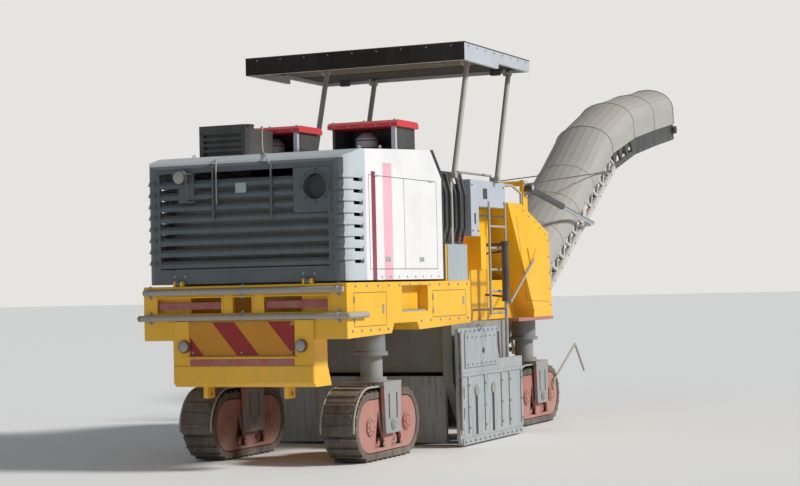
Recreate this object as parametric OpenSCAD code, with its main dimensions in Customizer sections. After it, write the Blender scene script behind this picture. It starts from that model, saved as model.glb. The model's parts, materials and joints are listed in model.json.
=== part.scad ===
// Cold planer: a tracked road milling machine with a front discharge conveyor.
// Millimetres. +X is the machine's right, +Y forward, +Z up. The origin lies on the
// ground, midway between the rear guard rail and the conveyor's tip. Inside the
// modules Y is counted from the rear face of the chassis, and place() moves it.

/* [Chassis] */
// Width of the chassis and hood beyond the milling width, on each side
side_wall = 130; // [120:1:145]
// Height of the deck above the ground
deck_z = 1800; // [1770:5:1830]
// Thickness of the deck plate
deck_t = 40; // [20:5:60]
// Height of the chassis underside at the rear
belly_back_z = 1260; // [1230:5:1300]
// Height of the chassis underside where the full-width sides end
belly_front_z = 1330; // [1300:5:1360]
// Width of a side beam
beam_w = 510; // [490:10:570]
// Length of the full-width chassis sides
side_len = 3200; // [3100:10:3300]
// How far the waist beside the operator lies inside the chassis sides
waist_in = 250; // [200:10:300]
// How far the box below the rear face lies inside the chassis sides
rear_box_in = 350; // [300:10:420]
// Height of the underside of the rear box
rear_box_z = 800; // [760:10:900]
// Depth of the rear box at its top
rear_box_d = 270; // [220:10:320]

// Radius of the bore of a towing eye
tow_r = 30; // [20:1:36]
// Thickness of a towing eye
tow_t = 50; // [30:2:70]

/* [Hood] */
// Rear face of the hood, forward of the chassis rear face
hood_back_y = 30; // [20:5:60]
// Where the grey louvred corners meet the white sides
hood_split_y = 480; // [420:10:560]
// Front wall of the hood
hood_front_y = 2480; // [2400:10:2480]
// Height of the rear top edge of the hood
hood_back_z = 3040; // [2980:10:3100]
// Height of the highest edge of the hood
hood_top_z = 3200; // [3140:10:3260]
// Sheet thickness of the hood
hood_t = 40; // [20:5:60]
// Radius of the hood corners in plan
hood_corner_r = 170; // [100:10:220]
// Number of slats in the rear grille
slat_count = 8; // [6:1:10]
// Spacing of the grille slats and of the corner louvres
slat_pitch = 114; // [100:2:120]
// Radius of the hood hinge pins
hood_pin_r = 14; // [10:1:18]

/* [Top boxes] */
// Height of the lids of the intake boxes
lid_z = 3500; // [3440:10:3560]
// Thickness of an intake lid
lid_t = 70; // [50:5:90]
// Length of the intake boxes along the machine
intake_len = 470; // [380:10:520]

/* [Tracks] */
// Distance from a chassis side in to the centre of a track
track_in = 330; // [310:5:350]
// Rear leg, forward of the rear face
rear_leg_y = 1240; // [1200:10:1280]
// Front leg, forward of the rear face
front_leg_y = 5800; // [5760:10:5830]
// Overall length of a track
track_len = 1600; // [1500:10:1640]
// Overall height of a track
track_h = 710; // [680:5:720]
// Width of the track shoes
shoe_w = 360; // [300:10:380]
// Number of shoes in a track
shoe_count = 34; // [28:1:38]
// Height of a shoe's rib
rib_h = 20; // [10:1:26]
// Thickness of the shoe and chain loop
loop_t = 62; // [50:2:80]
// Radius of a lifting leg
leg_r = 115; // [100:5:130]
// Wall of the sleeve that guides a leg
sleeve_wall = 35; // [25:1:45]
// Height of the underside of the leg sleeves
sleeve_z = 1050; // [1000:10:1100]
// Thickness of a yoke arm beside the track
yoke_t = 40; // [30:2:50]

/* [Milling drum] */
// Drum axis, forward of the rear face
drum_y = 3450; // [3420:5:3480]
// Height of the drum axis
drum_z = 535; // [520:5:560]
// Radius to the tips of the picks
drum_tip_r = 490; // [470:5:500]
// Radius of the drum tube
drum_tube_r = 390; // [360:5:400]
// Milling width
drum_w = 2000; // [1940:10:2020]
// Radius of the drum shaft
drum_shaft_r = 120; // [90:5:140]
// Number of picks along one spiral
picks_per_spiral = 18; // [12:1:20]
// Number of spirals on each half of the drum
spirals = 2; // [1:1:3]

/* [Side plates and scraper] */
// Distance from a chassis side out to the outer face of a side plate
side_plate_out = 145; // [140:1:160]
// Thickness of a side plate
side_plate_t = 40; // [25:5:50]
// Rear edge of the side plates
side_plate_y0 = 2450; // [2420:10:2500]
// Front edge of the side plates
side_plate_y1 = 4420; // [4380:10:4460]
// Height of the rear top edge of the side plates
side_plate_top = 1280; // [1250:5:1285]
// Gap between the ground and the side plates at rest
ground_gap = 20; // [15:1:40]
// How far the side plates can rise
side_plate_lift = 350; // [250:10:400]
// Thickness of the scraper blade
scraper_t = 50; // [40:2:60]
// How far the scraper can rise
scraper_lift = 300; // [200:10:320]

/* [Conveyors] */
// Width of the discharge conveyor
conv_w = 870; // [840:10:890]
// Angle at which the discharge conveyor rises
conv_rise = 30; // [27:0.1:32]
// Depth of the discharge conveyor's side trusses
conv_depth = 350; // [320:10:380]
// Rise of the arched cover above the trusses
arch_h = 300; // [240:10:340]
// Length from the lift pivot to the bend
conv_straight = 4850; // [4600:50:5000]
// Length of each of the three sections of the curved end
end_section = 1170; // [1100:10:1250]
// Angle at which the first section of the end lies below the straight part
end_bend = 15; // [12:0.5:17]
// Slew axis and lift pivot, forward of the rear face
pivot_y = 6760; // [6740:5:6800]
// Height of the lift pivot
pivot_z = 1160; // [1150:5:1180]
// Half width of the primary conveyor under the front block
primary_hw = 400; // [360:10:405]
// Angle at which the primary conveyor rises
primary_rise = 24.2; // [23:0.1:25]
// Depth of the primary conveyor
primary_d = 320; // [280:10:340]

/* [Canopy] */
// How far the roof stands out beyond the chassis sides
roof_out = 220; // [190:5:230]
// How far the roof reaches behind the heads of the rear posts
roof_back = 627; // [560:1:700]
// How far the roof reaches past the heads of the front posts
roof_front = 123; // [90:1:200]
// Height of the top of the roof
roof_z = 4400; // [4360:10:4440]
// Depth of the roof's edge
roof_edge = 200; // [150:10:220]
// Height of the pivots at the foot of the posts
post_foot_z = 2960; // [2940:5:2980]
// Angle at which the posts lean forward
post_lean = 20.3; // [18:0.1:24]
// Radius of a canopy post
post_r = 30; // [22:1:36]

/* [Hidden] */
$fn = 48;

YELLOW = "#efa31a";
WHITE = "#edeae6";
GREY = "#8e979b";
LIGHT_GREY = "#b9c0ca";
RAIL = "#a09a90";
DARK = "#35383b";
STEEL = "#a9b4b8";
DUSTY_RED = "#c98a80";
SHOE = "#7d6a5c";
RED = "#c0303a";
COVER = "#b0ada8";
RUBBER = "#2b2a29";
CHROME = "#c9ccd0";

seat = 0.3;              // gap between pieces of different bodies that rest on each other
pin_gap = 0.3;           // radial gap of a pin in its eye
weld = 1;                // how much a welded corner stands proud of its tubes
hw = drum_w / 2 + side_wall;
beam_in_x = hw - beam_w;
waist_hw = hw - waist_in;
rear_box_hw = hw - rear_box_in;
track_x = hw - track_in;
side_plate_x = hw + side_plate_out;
rail_y = -60;            // rear face of the guard rails
rail_r = 30;
rear_box_top = 1450;
board_x = [190 - rear_box_hw, rear_box_hw - 210];
board_z = [1110, 1440];
tow_x = 450;
tow_y = 100;
tank_hw = hw;
tank_back_z = 2710;
tank_back_y0 = 4460;
tank_back_y1 = 4910;
tank_nose_z = 2380;
tank_nose_y = 5880;
tank_front_y = 5960;
tank_low_z = 1380;
tank_foot_y = 5300;
tank_foot_z = 1420;
tank_slant = (tank_foot_y - tank_back_y0) / (tank_back_z - tank_foot_z);
flange_z = 1340;
collar_h = 40;
sleeve_r = leg_r + sleeve_wall;
sleeve_top = deck_z - deck_t;
hood_z = deck_z + 20;    // lower edge of the hood
hood_pin_y = 0;
hood_pin_z = deck_z + hood_pin_r + 14;
hinge_r = hood_pin_r + 12;
hinge_x = hw - 410;
hinge_xs = [-hinge_x, hinge_x];
conv_hw = conv_w / 2;
conv_low = -150;         // lower chord below the lift pivot, square to the conveyor
conv_high = conv_low + conv_depth;
chord_h = 70;
conv_tail = -380;        // tail end, along the conveyor from the lift pivot
mast_z = 3100;
cradle_x = conv_hw + 30;
cradle_t = 45;
pin_r = 35;
lift_pin_r = 25;
eye_s = 3060;
eye_t = conv_low + 40;
head_y = pivot_y + 20;
head_z = mast_z - 100;
eye_y = pivot_y + eye_s * cos(conv_rise) - eye_t * sin(conv_rise);
eye_z = pivot_z + eye_s * sin(conv_rise) + eye_t * cos(conv_rise);
lift_len = norm([eye_y - head_y, eye_z - head_z]);
lift_tilt = atan2(eye_z - head_z, eye_y - head_y);
lift_x = cradle_x + cradle_t + 50;
tip_y = pivot_y + conv_straight * cos(conv_rise)
    + end_section * (cos(conv_rise - end_bend) + cos(conv_rise - end_bend - 5) + cos(conv_rise - end_bend - 6));
shift_y = -(tip_y + rail_y) / 2;
roof_under = roof_z - roof_edge;
chamber_hw = drum_w / 2 + 20;
slot_hw = 35;
lift_rod_x = hw + 60;
lift_rod_y = 4170;
slot_ys = [2950, 3460];
stud_z = 590;
arm_hw = 20;             // half width of the arm that holds a side cylinder
arm_z = [2190, 2230];
nose_z = 740;
nose_in_x = primary_hw + 65;
post_head_z = roof_under + 50;
post_len = (post_head_z - post_foot_z) / cos(post_lean);
rear_foot_y = 2800;
front_foot_y = 4120;
post_xs = [hw, 510 - hw];
rear_head_y = rear_foot_y + post_len * sin(post_lean);
front_head_y = front_foot_y + post_len * sin(post_lean);
roof_y0 = rear_head_y - roof_back;
roof_y1 = front_head_y + roof_front;
roof_hw = hw + roof_out;
post_pin_r = 12;
console_top = 2940;
console_low = 2640;      // underside of the consoles' tops
bay_y0 = hood_front_y + 80;
console_y0 = side_len + 160;
console_y1 = console_y0 + 240;
ladder_x = hw - 25;
ladder_r = 14;
ladder_ys = [console_y1 + 300, tank_back_y0 - 40];
brace_x = hw + 2 * ladder_r + seat;

function between(y, p, q) = p[1] + (q[1] - p[1]) * (y - p[0]) / (q[0] - p[0]);
function belly(y) = y < side_len ? between(y, [1750, belly_front_z - 32], [side_len, belly_front_z])
    : between(y, [side_len, belly_front_z], [tank_foot_y, flange_z]);
function seated(y) = belly(y) - seat;
function tank_under(y) = between(y, [tank_foot_y, tank_foot_z], [tank_front_y, tank_low_z]);

module place() translate([0, shift_y, 0]) children();

// Block between two corners, given as [from, to] along each axis
module slab(x, y, z) translate([x[0], y[0], z[0]]) cube([x[1] - x[0], y[1] - y[0], z[1] - z[0]]);

// Piece and its mirror image on the left side
module both() {
    children();
    mirror([1, 0, 0]) children();
}

// Outline in the YZ plane, extruded from x0 to x1
module profile_x(x0, x1, points) translate([x0, 0, 0]) rotate([90, 0, 90]) linear_extrude(x1 - x0) polygon(points);

// The same for a 2D child
module across(x0, x1) translate([x0, 0, 0]) rotate([90, 0, 90]) linear_extrude(x1 - x0) children();

// Round bar between two points
module bar(p, q, r) {
    d = q - p;
    translate(p) rotate([0, acos(d[2] / norm(d)), atan2(d[1], d[0])]) cylinder(h = norm(d), r = r);
}

// Tube bent through a list of points
module bent_tube(points, r) {
    for (i = [0 : len(points) - 2]) bar(points[i], points[i + 1], r);
    for (i = [1 : len(points) - 2]) translate(points[i]) sphere(r + weld);
}

// Cylinder along X
module x_cyl(x0, x1, y, z, r) translate([x0, y, z]) rotate([0, 90, 0]) cylinder(h = x1 - x0, r = r);

function arc(cx, cy, r, a0, a1, n) = [for (i = [0 : n]) let (a = a0 + (a1 - a0) * i / n) [cx + r * cos(a), cy + r * sin(a)]];

// Chassis

side_low = [
    [0, belly_back_z], [1040, belly_back_z + 23], [1100, 1380], [1690, 1380], [1750, belly_front_z - 32],
    [side_len, belly_front_z], [side_len, deck_z], [0, deck_z]
];

module rear_box_shape(grow) profile_x(-rear_box_hw - grow, rear_box_hw + grow, [
    [-30, rear_box_z + 40], [-30, rear_box_top], [rear_box_d, rear_box_top], [rear_box_d, 1000],
    [rear_box_d + 80, rear_box_z], [10, rear_box_z]
]);

// Windows in the rear wall, each as [left, right]
windows = [[-hw + 150, -230], [-120, 110], [230, hw - 190]];
window_z = [1520, 1690];

module main_frame() {
    color(YELLOW) place() difference() {
        union() {
            both() profile_x(beam_in_x, hw, side_low);
            slab([-hw, hw], [0, side_len], [deck_z - deck_t, deck_z]);
            slab([-waist_hw, waist_hw], [side_len, tank_back_y0], [deck_z - deck_t, deck_z]);
            slab([-hw, hw], [0, 60], [rear_box_top, deck_z]);
            for (y = [[330, 450], [2150, 2300]]) slab([-beam_in_x, beam_in_x], y, [1400, deck_z]);
            both() profile_x(beam_in_x, waist_hw, [
                [side_len, belly_front_z], [tank_foot_y, flange_z], [tank_foot_y - 2 * seat, tank_foot_z - seat],
                [tank_foot_y - 2 * seat - (deck_z - tank_foot_z) * tank_slant, deck_z], [side_len, deck_z]
            ]);
            both() profile_x(beam_in_x, hw, [
                [tank_foot_y - 10, flange_z], [tank_front_y, flange_z], [tank_front_y, tank_low_z - seat],
                [tank_foot_y, tank_foot_z - seat]
            ]);
            for (y = [rear_leg_y, front_leg_y]) both()
                translate([track_x, y, sleeve_z]) {
                    cylinder(h = sleeve_top - sleeve_z, r = sleeve_r);
                    cylinder(h = collar_h, r = sleeve_r + 25);
                }
            // Fixed knuckles of the hood hinge
            for (x = hinge_xs, s = [-1, 1]) hinge_lug(x + s * 40);
            for (x = hinge_xs) x_cyl(x - 40, x + 40, hood_pin_y, hood_pin_z, hood_pin_r);
        }
        for (y = [rear_leg_y, front_leg_y]) both()
            translate([track_x, y, sleeve_z - 1]) cylinder(h = sleeve_top - sleeve_z - 20, r = leg_r + pin_gap);
        for (w = windows) slab(w, [-1, 61], window_z);
        rear_box_shape(0);
        // Step pocket in each side
        both() slab([hw - 110, hw + 1], [1310, 1990], [1490, deck_z - deck_t]);
    }
}

module hinge_lug(x) {
    slab([x - 12, x + 12], [hood_pin_y - hinge_r, hood_pin_y + hinge_r], [deck_z - 1, hood_pin_z]);
    x_cyl(x - 12, x + 12, hood_pin_y, hood_pin_z, hinge_r);
}

module rear_box() color(YELLOW) place() difference() {
    union() {
        difference() {
            rear_box_shape(0);
            slab([-rear_box_hw + 40, rear_box_hw - 40], [40, rear_box_d + 90], [rear_box_z - 1, rear_box_top - 40]);
        }
        // Towing and lashing eyes
        both() slab([tow_x - tow_t / 2, tow_x + tow_t / 2], [20, tow_y + 60], [rear_box_z - 115, rear_box_z + 60]);
    }
    // Recess of the hazard board
    slab(board_x + [-10, 10], [-31, -18], board_z + [-10, 10]);
    both() x_cyl(tow_x - tow_t, tow_x + tow_t, tow_y, rear_box_z - 55, tow_r);
}

module hazard_board() color(RED) place() slab(board_x, [-24, -18], board_z);

module guard_rails() color(RAIL) place() {
    y = rail_y + rail_r;
    side_x = hw + rail_r + seat;
    bar([-hw + 20, y, 1740], [hw - 20, y, 1740], rail_r);
    bent_tube([[-side_x, 400, 1485], [-side_x, y, 1485], [side_x, y, 1485], [side_x, 400, 1485]], rail_r);
    // Brackets on the rear face
    for (x = [80 - hw, 0, hw - 80], z = [1740, 1485]) slab([x - 20, x + 20], [y, 0], [z - 15, z + 15]);
}

// Round lamps beside the board, and the long reflectors in the outer rear windows
module rear_lamps() color(RED) place() {
    both() translate([rear_box_hw - 130, -30, 1200]) rotate([90, 0, 0]) {
        cylinder(h = 14, r = 66);
        cylinder(h = 28, r = 54);
    }
    for (w = [windows[0], windows[2]]) slab(w, [18, 42], window_z + [48, -52]);
}

module engine_block() color(DARK) place() slab([680 - hw, hw - 680], [800, 2150], [deck_z, 2650]);

module cooler_pack() color(DARK) place() slab([230 - hw, hw - 230], [250, 480], [deck_z, 2850]);

// Hood

function hood_outline(t) = [
    [hood_back_y + t, hood_z], [hood_back_y + t, hood_back_z - t - 60], [hood_back_y + t + 60, hood_back_z - t],
    [370, hood_back_z + 70 - t], [hood_front_y - 260, hood_top_z - t], [hood_front_y - t, hood_top_z - 260 - t / 2],
    [hood_front_y - t, hood_z]
];

module hood_solid(t) intersection() {
    across(-hw + t, hw - t) polygon(hood_outline(t));
    translate([0, 0, hood_z - 1]) linear_extrude(hood_top_z) hood_plan(t);
}

module hood_plan(t) {
    r = max(hood_corner_r - t, 1);
    polygon(concat(
        [[-hw + t, hood_front_y + 1], [hw - t, hood_front_y + 1]],
        arc(hw - t - r, hood_back_y + t + r, r, 0, -90, 6),
        arc(-hw + t + r, hood_back_y + t + r, r, -90, -180, 6)
    ));
}

module hood_skin() difference() {
    hood_solid(0);
    translate([0, 0, -2]) hood_solid(hood_t);
}

module hood_shell() color(WHITE) place() intersection() {
    hood_skin();
    slab([-hw, hw], [hood_split_y, hood_front_y], [hood_z, hood_top_z]);
}

grille_x = hw - 160;
grille_z0 = 1980;
grille_z1 = 2950;

module hood_tail() color(GREY) place() difference() {
    union() {
        intersection() {
            hood_skin();
            slab([-hw, hw], [hood_back_y, hood_split_y], [hood_z, hood_top_z]);
        }
        corner_louvres();
        for (x = hinge_xs) {
            x_cyl(x - 26, x + 26, hood_pin_y, hood_pin_z, hinge_r);
            slab([x - 26, x + 26], [hood_pin_y, hood_back_y + 5], [hood_z + 2, hood_pin_z + hinge_r - 2]);
        }
    }
    for (x = hinge_xs) x_cyl(x - 27, x + 27, hood_pin_y, hood_pin_z, hood_pin_r + pin_gap);
    slab([-grille_x, grille_x], [hood_back_y - 1, hood_back_y + hood_t + 1], [grille_z0 - 40, grille_z1]);
    // Slots behind the corner louvres
    for (i = [0 : slat_count - 1]) both()
        slab([hw - hood_t - 1, hw + 1], [hood_back_y + hood_corner_r + 10, hood_split_y - 60],
            [grille_z0 + i * slat_pitch + 8, grille_z0 + i * slat_pitch + louvre_h - 8]);
}

louvre_h = 66;
louvre_out = 16;

// Louvres wrapped round the rear corners, each a blade that stands out at its lower edge
module corner_louvres() for (i = [0 : slat_count - 1]) translate([0, 0, grille_z0 + i * slat_pitch + 40])
    difference() {
        for (step = [[0, 1], [20, 0.5]]) translate([0, 0, step[0]]) linear_extrude(20) intersection() {
            hood_plan(-louvre_out * step[1]);
            both_2d() translate([grille_x + 16, hood_back_y - louvre_out])
                square([hw, hood_split_y - 100 - hood_back_y]);
        }
        translate([0, 0, -1]) linear_extrude(60) hood_plan(hood_t / 2);
    }

module both_2d() {
    children();
    mirror([1, 0]) children();
}

port_x = grille_x - 160;
lamp_x = 470 - hw;
port_z = 2740;

module rear_grille() color(GREY) place() difference() {
    union() {
        // Frame round the slats
        difference() {
            slab([-grille_x, grille_x], [hood_back_y, hood_back_y + hood_t], [grille_z0 - 40, grille_z1]);
            slab([-grille_x + 30, grille_x - 30], [hood_back_y - 1, hood_back_y + hood_t + 1], [grille_z0 - 10, grille_z1 - 20]);
        }
        for (i = [0 : slat_count - 1]) let (z = grille_z0 + i * slat_pitch)
            profile_x(-grille_x + 1, grille_x - 1, [
                [hood_back_y + 2, z], [hood_back_y + 2, z + 42], [hood_back_y + hood_t, z + 80], [hood_back_y + hood_t, z + 38]
            ]);
        slab([port_x - 240, grille_x], [hood_back_y - 6, hood_back_y + hood_t], [2490, 2930]);
        // Plate that carries the work lamp
        slab([lamp_x - 60, lamp_x + 120], [hood_back_y - 2, hood_back_y + 12], [2630, grille_z1 - 19]);
        for (x = [-320, 330]) bar([x, hood_back_y - 12, 2460], [x, hood_back_y - 12, grille_z1 + 40], 12);
    }
    translate([port_x, -50, port_z]) rotate([-90, 0, 0]) cylinder(h = 200, r = 130);
}

module hood_lamps() color(DARK) place() {
    lamp = [lamp_x, hood_back_y - 2 - seat, 2885];
    translate(lamp) rotate([90, 0, 0]) {
        cylinder(h = 30, r = 26);
        translate([0, 0, 28]) cylinder(h = 62, r = 70);
    }
    // Loop that guards the lamp
    bent_tube([lamp + [95, 0, 30], lamp + [95, -120, 30], lamp + [95, -120, -230], lamp + [95, 0, -230]], 8);
}

// Boxes under the lids, each as [left, right]
box_xs = [[200 - hw, -180], [160, hw - 160]];
box_y1 = hood_front_y - 300;
box_y0 = box_y1 - intake_len;
box_wall = 30;

// Each box is open to the rear, where its air cleaner stands
module intake_boxes() color(DARK) place() for (x = box_xs) difference() {
    slab(x + [box_wall, -box_wall], [box_y0, box_y1], [3130, lid_z - lid_t]);
    slab(x + [2 * box_wall, -2 * box_wall], [box_y0 - 1, box_y1 - box_wall], [3129, lid_z - lid_t + 1]);
    hood_solid(0);
}

module air_cleaners() color(LIGHT_GREY) place() for (x = box_xs) difference() {
    union() {
        translate([(x[0] + x[1]) / 2 - 60, box_y0 + 190, 3100]) cylinder(h = 230, r = 120);
        translate([(x[0] + x[1]) / 2 - 60, box_y0 + 190, 3330]) cylinder(h = 60, r1 = 120, r2 = 60);
        slab([x[1] - 75, x[1] - box_wall], [box_y0 - 45, box_y0 - seat], [3050, lid_z - lid_t - seat]);
    }
    hood_solid(0);
}

module intake_lids() color(RED) place() for (x = box_xs) profile_x(x[0], x[1], [
    [box_y0 - 60, lid_z - lid_t], [box_y0 - 60, lid_z - 30], [box_y0 - 20, lid_z], [box_y1 + 10, lid_z], [box_y1 + 40, lid_z - 30],
    [box_y1 + 40, lid_z - lid_t]
]);

module exhaust_box() color(DARK) place() difference() {
    union() {
        slab([130 - hw, -450], [950, 1560], [3080, 3440]);
        // Rail round the top and the outlet
        translate([-620, 1300, 3439]) cylinder(h = 62, r = 75);
        slab([130 - hw, -450], [950, 975], [3439, 3480]);
    }
    translate([-620, 1300, 3400]) cylinder(h = 110, r = 65);
    for (i = [0 : 3]) slab([180 - hw, -500], [949, 985], [3170 + i * 62, 3200 + i * 62]);
    hood_solid(0);
}

// Operator platform

module platform_walls() color(YELLOW) place() {
    // Rear wall behind the operator
    slab([-hw, hw], [hood_front_y + 20, hood_front_y + 60], [deck_z, 2200]);
    both() slab([waist_hw - 60, waist_hw], [side_len, tank_back_y0], [deck_z, console_low]);
    // Panel under the console, open where a side cylinder's arm passes
    both() difference() {
        slab([waist_hw, hw - 40], [console_y1 + 60, console_y1 + 230], [1920, console_low - 340]);
        slab([waist_hw, hw], [lift_rod_y - arm_hw - seat, lift_rod_y + arm_hw + seat], [arm_z[0] - seat, arm_z[1] + seat]);
    }
}

module platform_rails() color(RAIL) place() {
    // Lugs and pins at the feet of the canopy posts, each as [x, y, foot]
    for (p = [[post_xs[0], rear_foot_y, 2200], [post_xs[0], front_foot_y, console_top], [post_xs[1], rear_foot_y, deck_z],
        [post_xs[1], front_foot_y, deck_z]]) {
        x = p[0] - post_r - seat;
        slab([x - 40, x], [p[1] - 30, p[1] + 30], [p[2], post_foot_z + 30]);
        x_cyl(x - 1, p[0] + post_r, p[1], post_foot_z, post_pin_r);
    }
    both() ladder();
    // Handrails over the consoles
    both() bent_tube([[waist_hw + 60, console_y0 + 40, console_top + seat], [waist_hw + 60, console_y0 + 40, console_top + 90],
        [waist_hw + 60, tank_back_y0 - 40, console_top + 90], [waist_hw + 60, tank_back_y0 - 40, console_top + seat]], 14);
}

ladder_low = 1400;
rung_step = 250;

// Ladder between the consoles and the drum housing, with the brace to the front block
module ladder() {
    for (y = ladder_ys) {
        bar([ladder_x, y, ladder_low], [ladder_x, y, console_low + 60], 16);
        for (z = [ladder_low + 60, console_low - 100]) bar([waist_hw + seat, y, z], [ladder_x, y, z], ladder_r);
    }
    for (z = [ladder_low + 20 : rung_step : console_low - 60])
        bar([ladder_x, ladder_ys[0], z], [ladder_x, ladder_ys[1], z], ladder_r);
    bent_tube([[ladder_x, ladder_ys[1], brace_z], [brace_x, ladder_ys[1], brace_z], [brace_x, 5260, 2040]], ladder_r);
}

brace_z = 1540;

module side_consoles() color(LIGHT_GREY) place() both() difference() {
    profile_x(waist_hw + 70, hw - 30, [
        [console_y0, console_low - 340], [console_y1, console_low - 340], [console_y1, console_low],
        [tank_back_y0, console_low], [tank_back_y0, console_top], [console_y0, console_top]
    ]);
    for (y = ladder_ys) translate([ladder_x, y, console_low - 1]) cylinder(h = 70, r = 16 + seat);
    slab([hw - 45, hw - 29], [console_y0 + 380, console_y0 + 520], [console_low + 90, console_low + 210]);
}

module control_desk() color(DARK) place() profile_x(630 - hw, hw - 630, [
    [4150, deck_z], [4400, deck_z], [4400, 2700], [4250, 2760], [4050, 2640]
]);

module operator_seat() color(DARK) place() {
    seat_x = [hw - 880, hw - 430];
    slab(seat_x, [3000, 3450], [2250, 2350]);
    slab(seat_x, [2950, 3030], [2350, 2850]);
    translate([(seat_x[0] + seat_x[1]) / 2, 3250, deck_z]) cylinder(h = 450, r = 60);
}

bay_z = [2200, 3000];
bay_bars = 5;

// Dark bays with bowed bars beside the platform
module access_bays() color(DARK) place() both() {
    slab([waist_hw, hw - 180], [bay_y0, side_len], bay_z);
    for (z = [bay_z[0], bay_z[1] - 30]) slab([hw - 181, hw - 72], [bay_y0, side_len], [z, z + 30]);
    for (i = [0 : bay_bars - 1]) let (y = bay_y0 + 30 + i * (side_len - bay_y0 - 60) / (bay_bars - 1))
        bent_tube([[hw - 80, y, bay_z[0] + 10], [hw - 25, y, bay_z[0] + 200], [hw - 25, y, bay_z[1] - 240],
            [hw - 80, y, bay_z[1] - 10]], 16);
}

module step_boxes() color(STEEL) place() both() slab([waist_hw, hw], [bay_y0, side_len - 60], [deck_z, bay_z[0]]);

module extinguisher() color(RED) place() translate([hw - 135, side_len + 55 + seat, 1960]) {
    cylinder(h = 260, r = 55);
    translate([0, 0, 259]) cylinder(h = 30, r1 = 55, r2 = 20);
    translate([0, 0, 288]) cylinder(h = 40, r = 20);
}

deck_rail_z = 2930;

module front_block() color(YELLOW) place() difference() {
    union() {
        profile_x(-tank_hw, tank_hw, [
            [tank_back_y0, tank_back_z], [tank_back_y1, tank_back_z], [tank_nose_y, tank_nose_z], [tank_front_y, tank_low_z],
            [tank_foot_y, tank_foot_z]
        ]);
        // V bracket that takes the ladder's brace
        both() profile_x(hw - 1, brace_x - ladder_r - seat, [
            [5180, 1980], [5230, 1980], [5440, 2180], [5400, 2180], [5215, 2010], [5130, 2180], [5090, 2180]
        ]);
        // Low rail round the deck of the block, let into it
        both() bent_tube([[hw - 90, tank_back_y0 + 60, tank_back_z - 20], [hw - 90, tank_back_y0 + 60, deck_rail_z],
            [hw - 90, tank_back_y1 - 60, deck_rail_z], [hw - 90, tank_back_y1 + 250, deck_rail_z - 80],
            [hw - 90, tank_back_y1 + 250, tank_back_z - 180]], 15);
        // Filler caps
        for (x = [-1, 1]) translate([x * (hw - 300), (tank_back_y0 + tank_back_y1) / 2, tank_back_z - 1]) cylinder(h = 46, r = 80);
    }
    both() translate([track_x, front_leg_y, tank_low_z - 100]) cylinder(h = sleeve_top - tank_low_z + 100, r = sleeve_r + seat);
    slab([-primary_hw - 60, primary_hw + 60], [tank_back_y0, tank_front_y + 1], [tank_low_z - 100, deck_z]);
    slab([-waist_hw - seat, waist_hw + seat], [tank_back_y0 - 1, tank_foot_y + seat], [tank_low_z - 100, tank_foot_z + seat]);
}

module front_step_bars() color(DUSTY_RED) place()
    both() slab([track_x + sleeve_r + 35, hw], [4750, 5990], [1300, flange_z]);

module drum_housing() color(GREY) place() {
    both() {
        difference() {
            profile_x(chamber_hw, hw, [
                [2620, seated(2620)], [2620, 700], [2950, 250], [3950, 250], [4300, 700], [4300, seated(4300)], [side_len, seated(side_len)]
            ]);
            x_cyl(chamber_hw - 1, hw - 30, drum_y, drum_z, drum_shaft_r + pin_gap);
        }
        // Front wall of the chamber beside the primary conveyor
        slab([primary_hw + seat, chamber_hw], [4180, 4240], [330, 900]);
        // Flanged studs that carry the side plate in its slots
        for (y = slot_ys) {
            x_cyl(hw, side_plate_x - side_plate_t - seat, y, stud_z, 60);
            x_cyl(hw, side_plate_x + 12, y, stud_z, slot_hw - 1);
            x_cyl(side_plate_x + seat, side_plate_x + 12, y, stud_z, 60);
        }
    }
    across(-chamber_hw, chamber_hw) difference() {
        polygon([
            [2760, seated(2760)], [2760, 800], [4240, 800], [4240, seated(4240)], [side_len, seated(side_len)]
        ]);
        translate([drum_y, drum_z]) circle(drum_tip_r + 60);
    }
}

primary_y0 = 4250;
primary_z0 = 360;
primary_len = (6150 - primary_y0) / cos(primary_rise);

module along_primary() translate([0, primary_y0, primary_z0]) rotate([primary_rise, 0, 0]) children();

module primary_trough() color(DARK) place() along_primary() {
    difference() {
        slab([-primary_hw, primary_hw], [0, primary_len], [0, primary_d]);
        slab([-primary_hw + 40, primary_hw - 40], [-1, primary_len + 1], [40, primary_d + 1]);
    }
    // Brackets that hang the trough between the arms of the nose
    both() slab([primary_hw - 1, nose_in_x], [1560, 1660], [60, 120]);
}

module primary_belt() color(RUBBER) place() along_primary()
    slab([-primary_hw + 60, primary_hw - 60], [20, primary_len - 20], [40, 160]);

// Each arm of the nose hangs on the inner edge of the front flange and closes under the trough
module nose_frame() color(YELLOW) place() {
    arm_x = primary_hw + 5;
    both() translate([0, 5920, 0]) rotate([90, 0, 0]) linear_extrude(300) polygon([
        [arm_x, nose_z - 100], [arm_x + 40, nose_z - 100], [arm_x + 40, 900], [nose_in_x + 60, 1000],
        [nose_in_x + 60, flange_z - 40], [beam_in_x, flange_z], [beam_in_x, tank_low_z], [nose_in_x, tank_low_z],
        [nose_in_x, 1020], [arm_x, 940]
    ]);
    slab([-arm_x, arm_x], [5620, 5920], [nose_z - 100, nose_z]);
    slab([-240, 240], [5920, pivot_y], [nose_z - 100, nose_z]);
    translate([0, pivot_y, nose_z - 100]) cylinder(h = 100, r = 240);
}

module side_cylinders() color(DARK) place() both() {
    translate([lift_rod_x, lift_rod_y, 1550]) difference() {
        union() {
            cylinder(h = 700, r = 42);
            cylinder(h = 40, r = 50);
            translate([0, 0, 660]) cylinder(h = 40, r = 50);
        }
        translate([0, 0, -1]) cylinder(h = 600, r = 20 + pin_gap);
    }
    slab([waist_hw, lift_rod_x - 35], [lift_rod_y - arm_hw, lift_rod_y + arm_hw], arm_z);
}

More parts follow.
